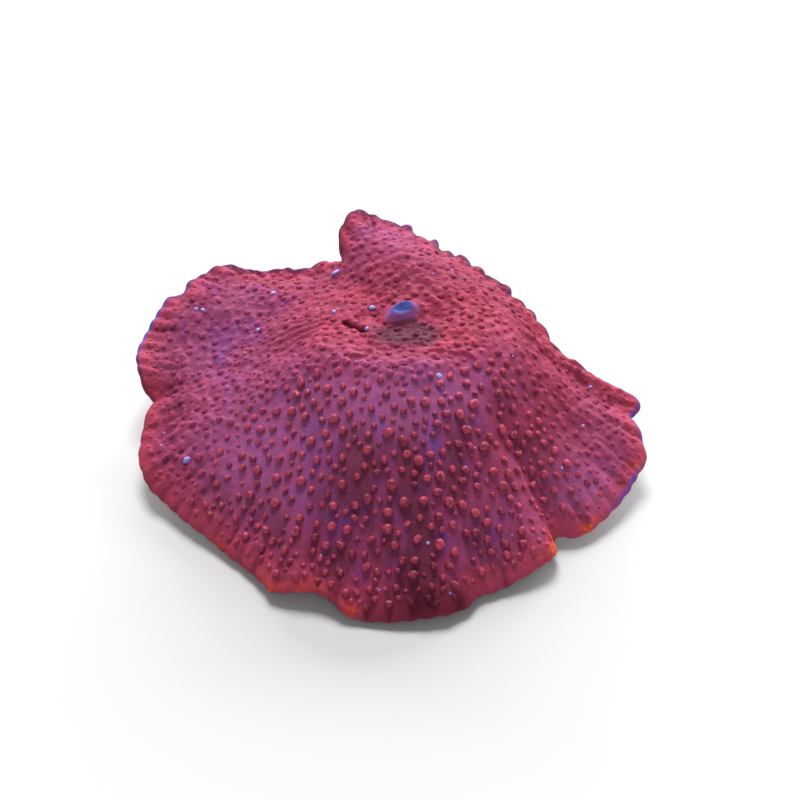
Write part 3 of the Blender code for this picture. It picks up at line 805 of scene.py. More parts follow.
def frontness(angle, share):
    """One on the drape below the crest, nought on the crown, on the back and at the side lobes."""
    aside = np.abs(angle_gap(angle, FRONT_ANGLE))
    middle = 1.0 - smooth_step(FRONT_FULL, FRONT_END, aside)
    return middle * smooth_step(FRONT_START_SHARE, FRONT_FULL_SHARE, share)


def stand_clear(bumps, standing):
    """Indexes of the bumps that stand clear of every standing one and of every earlier one that is kept.

    Each row is a bump's place, the plan part of its direction out of the disc, its radius and its gap.
    """
    stood = np.concatenate([standing, np.empty_like(bumps)])
    count = len(standing)
    kept = []
    for candidate, bump in enumerate(bumps):
        away = stood[:count, :3] - bump[:3]
        level = np.hypot(away[:, 0], away[:, 1])
        towards = away[:, :2] / np.maximum(level, 1e-6)[:, None]
        own_half = bump[5] * np.sqrt(1.0 - (towards @ bump[3:5]) ** 2)
        other_half = stood[:count, 5] * np.sqrt(1.0 - (towards * stood[:count, 3:5]).sum(axis=1) ** 2)
        apart = np.sqrt((away**2).sum(axis=1))
        far_enough = apart >= np.minimum(stood[:count, 6], bump[6])
        if (far_enough & (level >= own_half + other_half + KNOB_GAP)).all():
            stood[count] = bump
            count += 1
            kept.append(candidate)
    return kept


def scatter_knobs(sizes, rim):
    """Middle in plan, radius and rise of every knob: large ones first, then small ones between them."""
    chance = np.random.RandomState(sizes.seed)
    points = chance.uniform(*KNOB_FIELD, size=(KNOB_TRIALS, 2))
    vary = chance.uniform(*KNOB_VARIES, KNOB_TRIALS)
    vary_gap = chance.uniform(*GAP_VARIES, KNOB_TRIALS)
    angle, distance, share = about_mouth(points)
    inside = (share < 1.0) & (distance > KNOB_CLEAR_OF_MOUTH)
    points, vary, vary_gap = points[inside], vary[inside], vary_gap[inside]
    angle, distance, share = about_mouth(points)
    front = frontness(angle, share)
    calm = np.maximum(soft_patches(CALM_PATCHES, angle, share), ripple_window(angle, distance))
    crown, drape = sizes.crown_knob / MM, sizes.drape_knob / MM
    crown_gap, drape_gap = sizes.crown_spacing / MM, sizes.drape_spacing / MM
    radii = (crown + (drape - crown) * front) * (1.0 - CALM_SHRINK * calm) * vary
    near_margin = smooth_step(*NEAR_MARGIN, share)
    radii *= 1.0 - MARGIN_SHRINK * near_margin
    gaps = (crown_gap + (drape_gap - crown_gap) * front) * (1.0 + CALM_SPREAD * calm) * vary_gap
    gaps *= 1.0 + CLUSTER_SHARE * noise_at(points, CLUSTER_SIZE, 12.0)
    gaps *= 1.0 - MARGIN_CROWDING * near_margin
    rises = (1.0 - CALM_SINK * calm) * (CROWN_RISE + (1.0 - CROWN_RISE) * front)
    tree = plant_tree(rim)
    from_rim = np.array([tree.find((x, y, 0.0))[2] for x, y in points])
    _, _, outward = frame_on_disc(points, sizes.edge_thickness / MM)
    clear = (from_rim > radii + ROLL_STEPS[-1] + KNOB_GAP) & (outward[:, 2] > KNOB_LEVELNESS)
    clear &= (crease_depth(points) < CREASE_CLEAR) & (ridge_share(points) < RIDGE_CLEAR)
    height = disc_height(points, sizes.edge_thickness / MM)
    knobs = np.column_stack([points, height, outward[:, :2], radii, gaps])[clear]
    rises, least = rises[clear], SMALLEST_KNOB + SMALLEST_ON_FRONT * front[clear]
    large = stand_clear(knobs, knobs[:0])
    standing = knobs[large].copy()
    standing[:, 6] *= SMALL_SPACING_SHARE
    knobs[:, 5:] *= SMALL_SHARE, SMALL_SPACING_SHARE
    small = [index for index in stand_clear(knobs, standing) if knobs[index, 5] > least[index]]
    grown = np.concatenate([standing, knobs[small]])
    return grown[:, :2], grown[:, 5], np.concatenate([rises[large], rises[small]])


def ring_plan(middle, first, second, radius, sides, start):
    """Points round a middle, in the plane of two directions, seen in plan."""
    turns = start + 2 * np.pi * np.arange(sides) / sides
    reach = (radius * (1.0 + KNOB_OVAL * np.cos(2.0 * turns + 5.0 * start)))[:, None]
    return middle + reach * (np.outer(np.cos(turns), first[:2]) + np.outer(np.sin(turns), second[:2]))


def staggered_field(corner, far_corner, spacing):
    """A staggered field of plan points between two corners."""
    rows = np.arange(corner[1], far_corner[1], spacing * math.sqrt(0.75))
    columns = np.arange(corner[0], far_corner[0], spacing)
    x, y = np.meshgrid(columns, rows)
    x[1::2] += spacing / 2
    return np.column_stack([x.ravel(), y.ravel()])


def clear_of(points, others, least):
    """The plan points that lie at least this far from every other point; least may differ for each other."""
    tree = plant_tree(others)
    least = np.broadcast_to(least, len(others))
    widest = float(least.max())
    kept = [
        all(apart > least[index] for _, index, apart in tree.find_range((x, y, 0.0), widest))
        for x, y in points
    ]
    return points[np.array(kept, dtype=bool)]


def rim_rings(scallops, sizes):
    """The scalloped outline of the margin in plan, and the rings inside it where the edge rolls over."""
    angle = scallops.angles(RIM_SPACING)
    turn = np.radians(angle)
    reach = at_angle(MARGIN_ROUND, angle)[:, :1]
    smooth = MOUTH + reach * np.column_stack([np.cos(turn), np.sin(turn)])
    along = np.roll(smooth, -3, axis=0) - np.roll(smooth, 3, axis=0)
    inward = np.column_stack([-along[:, 1], along[:, 0]]) / np.linalg.norm(along, axis=1, keepdims=True)
    brim = brim_share(angle)
    depth = (sizes.rim_depth + (sizes.brim_depth - sizes.rim_depth) * brim) / MM
    rim = smooth + ((1.0 - scallops.crest(angle)) * depth)[:, None] * inward
    return rim, [rim + step * inward for step in ROLL_STEPS]


def roll_height(step):
    """Half thickness of the rolled edge, as a share, this far inside the outline."""
    inside = min(step / ROLL_RADIUS, 1.0)
    return math.sqrt(1.0 - (1.0 - inside) ** 2)


def triangulate(plan, loops, faces):
    """Triangles that fill the first loop around the given faces and keep the edges of all the loops."""
    coords = [Vector((float(x), float(y))) for x, y in plan]
    edges = [(start + i, start + (i + 1) % count) for start, count in loops for i in range(count)]
    made = delaunay_2d_cdt(coords, edges, faces, 1, 1e-6)
    source = [found[0] for found in made[3]]
    return [
        tuple(source[corner] for corner in face) for face, whole in zip(made[2], made[5]) if not whole
    ]


def strip_faces(outer, inner, count, turned):
    """Quads between two rings of the same count of points that start at these indexes."""
    faces = []
    for i in range(count):
        j = (i + 1) % count
        quad = (outer + i, outer + j, inner + j, inner + i)
        faces.append(quad[::-1] if turned else quad)
    return faces


def skin_fill():
    """Plan points that carry the skin's relief: close on the crown and the mouth, wider on the drape."""
    wide = staggered_field(*KNOB_FIELD, FILL_SPACING)
    close = staggered_field(*KNOB_FIELD, PEBBLE_FILL_SPACING)
    mouth = staggered_field(MOUTH - MOUTH_FIELD, MOUTH + MOUTH_FIELD, MOUTH_SPACING)
    parts = []
    for field, on_drape, at_mouth in ((wide, True, False), (close, False, False), (mouth, False, True)):
        angle, distance, share = about_mouth(field)
        kept = (share < 1.0) & ((distance < MOUTH_FIELD) == at_mouth)
        if not at_mouth:
            kept &= ((frontness(angle, share) > FINE_FRONT) & (share < FINE_SHARE)) == on_drape
        parts.append(field[kept])
    return np.concatenate([parts[0], clear_of(parts[1], parts[0], FILL_CLEAR_OF_ROLL), parts[2]])


def upper_skin(sizes, skin):
    """Places and faces of the disc's upper side, and the faces where knobs grow with their classes."""
    rim, roll = skin.rim, skin.roll
    middles, radii, rises = scatter_knobs(sizes, rim)
    firsts, seconds, _ = frame_on_disc(middles, skin.thickness)
    limits = np.array([limit for limit, _ in KNOB_CLASSES])
    size_class = np.searchsorted(limits, radii)
    rise_class = np.abs(rises[:, None] - np.array(RISE_CLASSES)).argmin(axis=1)
    plans, knob_faces, classes = [roll[-1]], [], []
    count = len(roll[-1])
    for index, middle in enumerate(middles):
        sides = KNOB_CLASSES[size_class[index]][1]
        outline = ring_plan(middle, firsts[index], seconds[index], radii[index], sides, middle.sum())
        plans.append(outline)
        knob_faces.append(list(range(count, count + sides)))
        classes.append(size_class[index] * len(RISE_CLASSES) + rise_class[index] + 1)
        count += sides
    knob_plan = np.concatenate(plans[1:])
    fill = skin_fill()
    fill = clear_of(fill, middles, radii + KNOB_GAP)
    fill = clear_of(fill, knob_plan, FILL_CLEAR_OF_KNOB)
    fill = clear_of(fill, np.concatenate([rim] + roll), FILL_CLEAR_OF_ROLL)
    plan = np.concatenate([roll[-1], knob_plan, fill])
    faces = triangulate(plan, [(0, len(rim))], knob_faces)
    return np.column_stack([plan, skin.height(plan)]), faces, knob_faces, classes


def under_skin(skin):
    """Places and faces of the disc's underside, the stalk and the foot's flat cut."""
    edge = skin.roll[-1]
    turn = np.linspace(0.0, 2 * np.pi, FOOT_POINTS, endpoint=False)
    foot = foot_edge(turn)[:, None] * np.column_stack([np.cos(turn), np.sin(turn)])
    field = staggered_field(*KNOB_FIELD, UNDER_SPACING)
    stalk = staggered_field(*KNOB_FIELD, STALK_SPACING)
    past = np.hypot(*field.T) - foot_edge(np.arctan2(field[:, 1], field[:, 0]))
    stalk_past = np.hypot(*stalk.T) - foot_edge(np.arctan2(stalk[:, 1], stalk[:, 0]))
    near = stalk[(stalk_past > 0.3 * STALK_SPACING) & (stalk_past < STALK_FIELD)]
    field = np.concatenate([near, field[past > STALK_FIELD]])
    field = field[about_mouth(field)[2] < 1.0]
    field = clear_of(field, edge, 0.6 * UNDER_SPACING)
    plan = np.concatenate([edge, foot, field])
    faces = triangulate(plan, [(0, len(edge)), (len(edge), len(foot))], [])
    height = lower_height(plan, skin.thickness)
    height[len(edge) : len(edge) + len(foot)] = 0.0
    return np.column_stack([plan, height]), faces


def skin_mesh(sizes, skin):
    """The whole polyp as one closed mesh, flat where its knobs will grow, and its marks for those faces."""
    thickness = skin.thickness
    count = len(skin.rim)
    upper, upper_faces, knob_faces, classes = upper_skin(sizes, skin)
    under, under_faces = under_skin(skin)

    places = [upper]
    starts = [0]
    faces = upper_faces + [tuple(face) for face in knob_faces]
    total = len(upper)
    outer_roll = list(zip(ROLL_STEPS, skin.roll))[:-1]
    rings = [(step, plan, 1.0) for step, plan in reversed(outer_roll)]
    rings.append((0.0, skin.rim, 0.0))
    rings += [(step, plan, -1.0) for step, plan in outer_roll]
    for step, plan, side in rings:
        height = disc_height(plan, thickness) - thickness / 2
        if side > 0:
            height = height + (thickness / 2 + skin.relief(plan)) * roll_height(step)
        elif side < 0:
            height = np.maximum(height - thickness / 2 * roll_height(step), FLOOR_GAP)
        places.append(np.column_stack([plan, height]))
        faces += strip_faces(starts[-1], total, count, True)
        starts.append(total)
        total += count
    places.append(under)
    faces += strip_faces(starts[-1], total, count, True)
    faces += [tuple(corner + total for corner in reversed(face)) for face in under_faces]

    mesh = bpy.data.meshes.new("polyp_skin")
    mesh.from_pydata((np.concatenate(places) * MM).tolist(), [], faces)
    marks = mesh.attributes.new("knob_class", "INT", "FACE")
    values = np.zeros(len(faces), dtype=np.int32)
    values[len(upper_faces) : len(upper_faces) + len(knob_faces)] = classes
    marks.data.foreach_set("value", values)
    mesh.attributes.new("knob", "FLOAT", "POINT")
    mesh.update()
    return mesh


def deselect_all():
    for thing in bpy.context.view_layer.objects:
        thing.select_set(False)


def make_active(piece):
    deselect_all()
    piece.select_set(True)
    bpy.context.view_layer.objects.active = piece


def select_knob_faces(mesh, wanted):
    """Selects the faces of one class of knobs in edit mode, and clears their mark. True if there are any."""
    work = bmesh.from_edit_mesh(mesh)
    marks = work.faces.layers.int["knob_class"]
    found = [face for face in work.faces if face[marks] == wanted]
    for face in found:
        face[marks] = 0
        face.select_set(True)
    bmesh.update_edit_mesh(mesh)
    return bool(found)


def colour_selected(mesh, amount):
    """Writes how much of the knobs' colour the selected faces' corners have."""
    work = bmesh.from_edit_mesh(mesh)
    layer = work.verts.layers.float["knob"]
    for face in work.faces:
        if face.select:
            for corner in face.verts:
                corner[layer] = amount
    bmesh.update_edit_mesh(mesh)


def raise_knobs(polyp):
    """Raises each class of knobs out of the skin by insets, and swells them over their necks."""
    make_active(polyp)
    bpy.ops.object.mode_set(mode="EDIT")
    bpy.ops.mesh.select_mode(type="FACE")
    for size_index, (limit, _) in enumerate(KNOB_CLASSES):
        below = KNOB_CLASSES[size_index - 1][0] if size_index else limit - FIRST_CLASS_WIDTH
        radius = (below + min(limit, below + WIDEST_CLASS)) / 2 * MM
        steps = SMALL_STEPS if limit <= SMALL_LIMIT else KNOB_STEPS
        for rise_index, rise in enumerate(RISE_CLASSES):
            bpy.ops.mesh.select_all(action="DESELECT")
            if not select_knob_faces(polyp.data, size_index * len(RISE_CLASSES) + rise_index + 1):
                continue
            for inset, lift, swell, colour in steps:
                bpy.ops.mesh.inset(
                    thickness=inset * radius, depth=lift * radius * rise, use_individual=True
                )
                colour_selected(polyp.data, colour)
                if swell:
                    bpy.ops.transform.shrink_fatten(value=swell * radius)
    bpy.ops.object.mode_set(mode="OBJECT")


def mark_tissue(polyp, skin):
    """Writes what the tissue's colours follow, from the disc and its margin to the mouth and underside."""
    mesh = polyp.data
    places = np.empty(len(mesh.vertices) * 3)
    mesh.vertices.foreach_get("co", places)
    places = places.reshape(-1, 3) / MM
    plan, height = places[:, :2], places[:, 2]
    angle, distance, share = about_mouth(plan)
    following = np.roll(skin.rim, -1, axis=0)
    tree = plant_tree(np.concatenate([skin.rim + (following - skin.rim) * part / 4 for part in range(4)]))
    inland = np.array([tree.find((x, y, 0.0))[2] for x, y in plan])
    pleats = pleat_depth(angle, share)
    below = disc_height(plan, skin.thickness) - skin.thickness / 2 - height - pleats
    at_back = smooth_step(LINE_FRONT, LINE_BACK, np.sin(np.radians(angle)))
    reach = LINE_REACH[0] + (LINE_REACH[1] - LINE_REACH[0]) * smooth_step(0.1, 0.7, np.sin(np.radians(angle)))
    reach *= 1.0 - FLAP_SIDE_NARROWING * hump(angle_gap(angle, FLAP_SIDE_ANGLE), FLAP_SIDE_HALF_ANGLE)
    line = at_back * smooth_step(1.0, 0.3, inland / reach)
    # Under the rolled edge, within about 2 mm of the rim, the line is painted shade.
    line = np.maximum(line, smooth_step(0.0, 0.25, below) * smooth_step(2.2, 0.8, inland))
    pebbled = 1.0 - frontness(angle, share)
    # Painted shade in the pits between the pebbles, away from the drape's front.
    pit_shade_mask = smooth_step(PIT_LEVEL, 0.05, pebble_relief(plan, skin.pebbles)) * pebbled * (share < 0.9)
    _, _, oval = mouth_oval(plan)
    bruise_gap = angle_gap(angle, BRUISE_ANGLE)
    on_ridge = 0.8 * ridge_share(plan)
    # Painted shade in the pleats and in patches where the front margin is gathered.
    gathered = np.maximum(pleats, soft_patches(GATHERED_SHADE_PATCHES, angle, share))
    columns = np.cos(np.radians(angle) * UNDER_RIDGES) * smooth_step(0.35, 0.7, share)
    on_stalk = np.hypot(plan[:, 0], plan[:, 1]) < FOOT_RADIUS + STALK_FLARE + 1.0
    # Painted shade inside the crease beside the mouth.
    crease_shade = smooth_step(0.25, 0.85, crease_depth(plan) / CREASE_DEPTH)
    marks = {
        "inland": inland,
        "under": smooth_step(0.1, 0.5, below),
        "line": line,
        "front": frontness(angle, share),
        "violet": soft_patches(VIOLET_PATCHES, angle, share),
        "flush": np.maximum(soft_patches(FLUSH_PATCHES, angle, share), on_ridge),
        "haze": soft_patches(HAZE_PATCHES, angle, share) * (1.0 - on_ridge),
        "pit": pit_shade_mask,
        "hollow_shade": np.maximum(skin.streaks(plan), gathered),
        "flute": 0.5 + 0.5 * np.where(on_stalk, stalk_flutes(plan), columns),
        # Painted orange glints along the margin.
        "orange": rim_patches(ORANGE_GLINT_PATCHES, angle),
        # Painted blue shine on the rim.
        "blue_shine": rim_patches(BLUE_SHINE_PATCHES, angle),
        "mouth": oval,
        "bruise": hump(bruise_gap, BRUISE_HALF_ANGLE, distance - BRUISE_DISTANCE, BRUISE_HALF_DISTANCE),
        "crease_shade": crease_shade * smooth_step(2.5, 1.8, below),
    }
    for name, values in marks.items():
        attribute = mesh.attributes.new(name, "FLOAT", "POINT")
        attribute.data.foreach_set("value", np.ascontiguousarray(values, dtype=np.float32))


def shader_node(tree, kind, place, **settings):
    node = tree.nodes.new(kind)
    node.location = place
    for name, value in settings.items():
        setattr(node, name, value)
    return node


def set_inputs(node, values):
    for name, value in values.items():
        node.inputs[name].default_value = value
    return node


def attribute_value(tree, name, place):
    return shader_node(tree, "ShaderNodeAttribute", place, attribute_name=name).outputs["Fac"]


def band(tree, value, start, end, low=0.0, high=1.0, place=(0, 0)):
    """A smooth change from low to high as a value goes from start to end."""
    node = shader_node(tree, "ShaderNodeMapRange", place, interpolation_type="SMOOTHSTEP")
    set_inputs(node, {"From Min": start, "From Max": end, "To Min": low, "To Max": high})
    tree.links.new(value, node.inputs["Value"])
    return node.outputs["Result"]


def maths(tree, operation, first, second, place=(0, 0)):
    node = shader_node(tree, "ShaderNodeMath", place, operation=operation)
    for socket, value in zip(node.inputs, (first, second)):
        if isinstance(value, (int, float)):
            socket.default_value = value
        else:
            tree.links.new(value, socket)
    return node.outputs["Value"]


def blend_colours(tree, share, first, second, place=(0, 0)):
    """The second colour over the first one by a share. Each colour is a socket or three values."""
    node = shader_node(tree, "ShaderNodeMix", place, data_type="RGBA")
    for index, value in zip(MIX_INPUTS, (share, first, second)):
        if isinstance(value, bpy.types.NodeSocket):
            tree.links.new(value, node.inputs[index])
        else:
            node.inputs[index].default_value = (*value, 1.0)
    return node.outputs[MIX_RESULT]


def start_group(name, inputs, output):
    """A new node group of values, its input node, its output socket and the piece's own coordinates."""
    group = bpy.data.node_groups.new(name, "ShaderNodeTree")
    for label, default in inputs:
        socket = group.interface.new_socket(label, in_out="INPUT", socket_type="NodeSocketFloat")
        socket.default_value = default
    group.interface.new_socket(output, in_out="OUTPUT", socket_type="NodeSocketFloat")
    given = shader_node(group, "NodeGroupInput", (-800, 0))
    result = shader_node(group, "NodeGroupOutput", (600, 0))
    where = shader_node(group, "ShaderNodeTexCoord", (-800, 300))
    return group, given, result.inputs[output], where.outputs["Object"]


def lay_textures(group, given, where, textures):
    """Lays textures over the piece, each at the scale that the group is given for it."""
    for texture, label in textures:
        group.links.new(where, texture.inputs["Vector"])
        group.links.new(given.outputs[label], texture.inputs["Scale"])


def mottle_group():
    """Node group: uneven patches of two sizes, as a mask."""
    group = bpy.data.node_groups.get("mottle")
    if group:
        return group
    inputs = (("Patch Scale", 300.0), ("Speckle Scale", 1400.0), ("Contrast", 0.5))
    group, given, result, where = start_group("mottle", inputs, "Mask")
    patches = set_inputs(shader_node(group, "ShaderNodeTexNoise", (-400, 200)), {"Detail": 3.0})
    speckle = set_inputs(shader_node(group, "ShaderNodeTexNoise", (-400, -150)), {"Detail": 2.0})
    lay_textures(group, given, where, ((patches, "Patch Scale"), (speckle, "Speckle Scale")))
    both = maths(group, "ADD", patches.outputs["Fac"], speckle.outputs["Fac"], (-150, 0))
    centred = maths(group, "SUBTRACT", both, 1.0, (0, 0))
    spread = maths(group, "MULTIPLY", centred, given.outputs["Contrast"], (150, 0))
    shifted = maths(group, "ADD", spread, 0.5, (300, 0))
    clamped = shader_node(group, "ShaderNodeClamp", (450, 0))
    group.links.new(shifted, clamped.inputs["Value"])
    group.links.new(clamped.outputs["Result"], result)
    return group


def fine_skin_group():
    """Node group: the fine grain of skin, from tiny cells and noise, as a height."""
    group = bpy.data.node_groups.get("fine_skin")
    if group:
        return group
    inputs = (("Cell Scale", 2600.0), ("Noise Scale", 5200.0), ("Cells", 0.6))
    group, given, result, where = start_group("fine_skin", inputs, "Height")
    cells = shader_node(group, "ShaderNodeTexVoronoi", (-400, 200), feature="SMOOTH_F1")
    grain = set_inputs(shader_node(group, "ShaderNodeTexNoise", (-400, -150)), {"Detail": 3.0})
    lay_textures(group, given, where, ((cells, "Cell Scale"), (grain, "Noise Scale")))
    domes = maths(group, "SUBTRACT", 1.0, cells.outputs["Distance"], (-150, 200))
    weighed = maths(group, "MULTIPLY", domes, given.outputs["Cells"], (50, 200))
    total = maths(group, "ADD", weighed, grain.outputs["Fac"], (250, 0))
    group.links.new(total, result)
    return group


def place_group(tree, group, place, values):
    node = shader_node(tree, "ShaderNodeGroup", place)
    node.node_tree = group
    return set_inputs(node, values)


def mottle_mask(tree, place, patches, speckle, contrast):
    """Uneven patches as a mask, from the scales of the patches and the speckle and the contrast."""
    values = {"Patch Scale": patches, "Speckle Scale": speckle, "Contrast": contrast}
    return place_group(tree, mottle_group(), place, values).outputs["Mask"]


def add_grain(tree, shader, place, values, strength, depth):
    """Gives a shader the fine grain of skin as bump, over the shape that is there already."""
    grain = place_group(tree, fine_skin_group(), place, values)
    bump = shader_node(tree, "ShaderNodeBump", (place[0] + 300, place[1]))
    set_inputs(bump, {"Strength": strength, "Distance": depth})
    tree.links.new(grain.outputs["Height"], bump.inputs["Height"])
    tree.links.new(bump.outputs["Normal"], shader.inputs["Normal"])


def new_material(name):
    """A new material, its node tree and its shader."""
    material = bpy.data.materials.new(name)
    material.use_nodes = True
    return material, material.node_tree, material.node_tree.nodes["Principled BSDF"]


def tissue_material(colours):
    """Wet living tissue: violet and red skin, red knobs, blue mouth and rim line, painted shade, painted
    orange glints.
    """
    material, tree, shader = new_material("coral_tissue")
    shader.location = (1800, 0)

    mottle = mottle_mask(tree, (-1400, 400), 260.0, 1500.0, 1.5)
    (
        knob, inland, under, violet, orange, blue_shine, mouth, bruise,
        crease_shade, pit, line, front, flush, haze, hollow_shade, flute,
    ) = (attribute_value(tree, name, (-1400, -150 * row)) for row, name in enumerate(MARKS))

    uneven = maths(tree, "SUBTRACT", mottle, 0.5, (-1200, 350))
    uneven = maths(tree, "MULTIPLY", uneven, 0.55, (-1050, 350))
    violet_share = maths(tree, "ADD", violet, uneven, (-900, 300))
    violet_share = band(tree, violet_share, 0.0, 1.0, place=(-750, 300))
    flushed = maths(tree, "MULTIPLY", flush, band(tree, mottle, 0.2, 0.7, 0.5, 1.0))
    skin = blend_colours(tree, flushed, colours.skin_red, colours.skin_flush, (-700, 480))
    where = shader_node(tree, "ShaderNodeTexCoord", (-1700, 750)).outputs["Object"]
    drawn_out = shader_node(tree, "ShaderNodeMapping", (-1500, 750))
    set_inputs(drawn_out, {"Scale": (1.0, 0.42, 0.42)})
    tree.links.new(where, drawn_out.inputs["Vector"])
    cool = shader_node(tree, "ShaderNodeTexNoise", (-1200, 850))
    set_inputs(cool, {"Scale": 420.0, "Detail": 2.0})
    tree.links.new(drawn_out.outputs["Vector"], cool.inputs["Vector"])
    cooler = band(tree, cool.outputs["Fac"], 0.47, 0.61, place=(-1000, 850))
    violets = blend_colours(tree, cooler, colours.skin_violet, colours.skin_cool, (-750, 850))
    skin = blend_colours(tree, violet_share, skin, violets, (-550, 300))
    shade = shader_node(tree, "ShaderNodeTexNoise", (-1200, 650))
    set_inputs(shade, {"Scale": 300.0, "Detail": 3.0})
    tree.links.new(drawn_out.outputs["Vector"], shade.inputs["Vector"])
    where_shaded = maths(tree, "MAXIMUM", front, maths(tree, "MULTIPLY", violet, 0.7))
    where_shaded = maths(tree, "SUBTRACT", where_shaded, maths(tree, "MULTIPLY", flush, 0.7))
    shaded = band(tree, shade.outputs["Fac"], 0.44, 0.57, 0.0, 0.88, place=(-1000, 650))
    shaded = maths(tree, "MULTIPLY", shaded, band(tree, where_shaded, 0.0, 1.0))
    skin = blend_colours(tree, shaded, skin, colours.skin_maroon, (-480, 560))
    # Painted shade in the pits between the pebbles.
    pit_shade_share = maths(tree, "MULTIPLY", pit, 0.52, (-550, 480))
    skin = blend_colours(tree, pit_shade_share, skin, colours.painted_pit_shade, (-400, 400))
    each_knob = mottle_mask(tree, (-800, 50), 430.0, 2400.0, 2.0)
    knobs = blend_colours(tree, each_knob, colours.knob_side, colours.knob_top, (-550, 50))
    knobs = blend_colours(tree, maths(tree, "MULTIPLY", violet, 0.15), knobs, skin, (-400, 50))
    # Painted shade at the feet of the knobs, strongest on the drape.
    foot_shade_share = band(tree, front, 0.1, 0.8, 0.25, 0.74, place=(-550, -400))
    foot_shaded_knobs = blend_colours(tree, foot_shade_share, knobs, colours.painted_knob_foot_shade, (-400, -60))
    knobs = blend_colours(tree, band(tree, knob, 0.35, 0.95, place=(-550, -250)), foot_shaded_knobs, knobs, (-320, 0))
    raised = band(tree, knob, 0.1, 0.6, place=(-550, -120))
    on_knob = maths(tree, "MULTIPLY", raised, band(tree, front, 0.0, 0.6, 0.24, 1.0))
    hazy = maths(tree, "MULTIPLY", haze, band(tree, on_knob, 0.0, 1.0, 0.72, 0.1))
    skin = blend_colours(tree, hazy, skin, colours.haze_pink, (-350, 150))
    knobs = blend_colours(tree, hazy, knobs, colours.haze_pink, (-350, 50))
    colour = blend_colours(tree, on_knob, skin, knobs, (-250, 150))

    near_rim = band(tree, inland, 3.0, 0.3, 0.0, 0.6, place=(-250, -100))
    colour = blend_colours(tree, near_rim, colour, colours.margin_red, (-50, 150))
    # Painted shade in the hollows of the streaks and pleats at the margin.
    hollow_shade_share = maths(tree, "MULTIPLY", hollow_shade, 0.88, (-50, 300))
    colour = blend_colours(tree, hollow_shade_share, colour, colours.painted_hollow_shade, (50, 150))
    # Painted orange and amber glints near the margin.
    glint_width = band(tree, inland, 1.8, 0.15, place=(-250, -300))
    spotty = band(tree, mottle, 0.1, 0.9, 0.35, 1.0, place=(-250, -450))
    glint_share = maths(tree, "MULTIPLY", maths(tree, "MULTIPLY", orange, glint_width), spotty, (-100, -300))
    colour = blend_colours(tree, band(tree, glint_share, 0.22, 0.9), colour, colours.painted_orange_glint, (150, 150))
    colour = blend_colours(tree, band(tree, glint_share, 0.68, 1.0), colour, colours.painted_amber_glint, (250, 150))
    # Painted blue shine on the rim.
    blue = maths(tree, "MULTIPLY", blue_shine, band(tree, inland, 0.6, 0.2, place=(50, -640)), (200, -640))
    colour = blend_colours(tree, blue, colour, colours.painted_blue_shine, (520, 150))
    bruised = band(tree, bruise, 0.1, 0.5, 0.0, 0.9, place=(600, -300))
    colour = blend_colours(tree, bruised, colour, colours.bruise_brown, (690, 150))
    lip = band(tree, mouth, 1.5, 1.05, 0.0, 0.85, place=(690, -100))
    colour = blend_colours(tree, lip, colour, colours.mouth_violet, (780, 150))
    inner = band(tree, mouth, 0.95, 0.65, place=(780, -100))
    colour = blend_colours(tree, inner, colour, colours.mouth_blue, (860, 150))
    # Painted shade inside the crease beside the mouth.
    colour = blend_colours(tree, crease_shade, colour, colours.painted_crease_shade, (1030, 150))
    fluted = maths(tree, "ADD", mottle, maths(tree, "MULTIPLY", flute, 0.25, (880, 300)), (950, 300))
    fluted = maths(tree, "MULTIPLY", fluted, 0.7, (1030, 300))
    below = blend_colours(tree, fluted, colours.underside, colours.underside_pale, (1100, 300))
    colour = blend_colours(tree, under, colour, below, (1200, 150))
    # The thin dark line along the rim, painted shade under the rolled edge, tinted by the painted blue shine.
    line = maths(tree, "MULTIPLY", line, 0.85, (1200, 300))
    line_colour = blend_colours(tree, blue_shine, colours.rim_line_and_under_shade, colours.painted_blue_shine, (1200, 450))
    colour = blend_colours(tree, line, colour, line_colour, (1370, 150))
    tree.links.new(colour, shader.inputs["Base Color"])

    rough = band(tree, mottle, 0.2, 0.8, 0.5, 0.68, place=(1200, -150))
    tree.links.new(rough, shader.inputs["Roughness"])
    wet_top = maths(tree, "MULTIPLY", band(tree, knob, 0.7, 1.0), band(tree, front, 0.2, 0.8, 0.0, 0.5))
    tree.links.new(wet_top, shader.inputs["Coat Weight"])
    grain = {"Cell Scale": 2600.0, "Noise Scale": 6500.0, "Cells": 0.9}
    add_grain(tree, shader, (1200, -350), grain, 0.5, 0.00014)
    set_inputs(
        shader,
        {
            "IOR": 1.33,
            "Specular IOR Level": 0.12,
            "Coat Roughness": 0.3,
            "Subsurface Weight": 0.25,
            "Subsurface Radius": (1.0, 0.32, 0.42),
            "Subsurface Scale": 0.00035,
        },
    )
    return material


def grain_material(colours):
    """Pale blue-white grit."""
    material, tree, shader = new_material("pale_grit")
    mottle = mottle_mask(tree, (-700, 100), 900.0, 4000.0, 1.6)
    colour = blend_colours(tree, mottle, colours.grit_blue, colours.grit_white, (-400, 100))
    tree.links.new(colour, shader.inputs["Base Color"])
    grain = {"Cell Scale": 5000.0, "Noise Scale": 9000.0, "Cells": 0.5}
    add_grain(tree, shader, (-700, -250), grain, 0.4, 0.00006)
    set_inputs(shader, {"Roughness": 0.4, "Subsurface Weight": 0.3, "Subsurface Scale": 0.0003})
    return material


def floor_material(stage):
    """Pale matt floor."""
    material, tree, shader = new_material("pale_floor")
    mottle = mottle_mask(tree, (-700, 100), 20.0, 300.0, 0.2)
    darker = tuple(0.985 * channel for channel in stage.floor_colour)
    colour = blend_colours(tree, mottle, darker, stage.floor_colour, (-400, 100))
    tree.links.new(colour, shader.inputs["Base Color"])
    set_inputs(shader, {"Roughness": 0.9, "Specular IOR Level": 0.1})
    return material


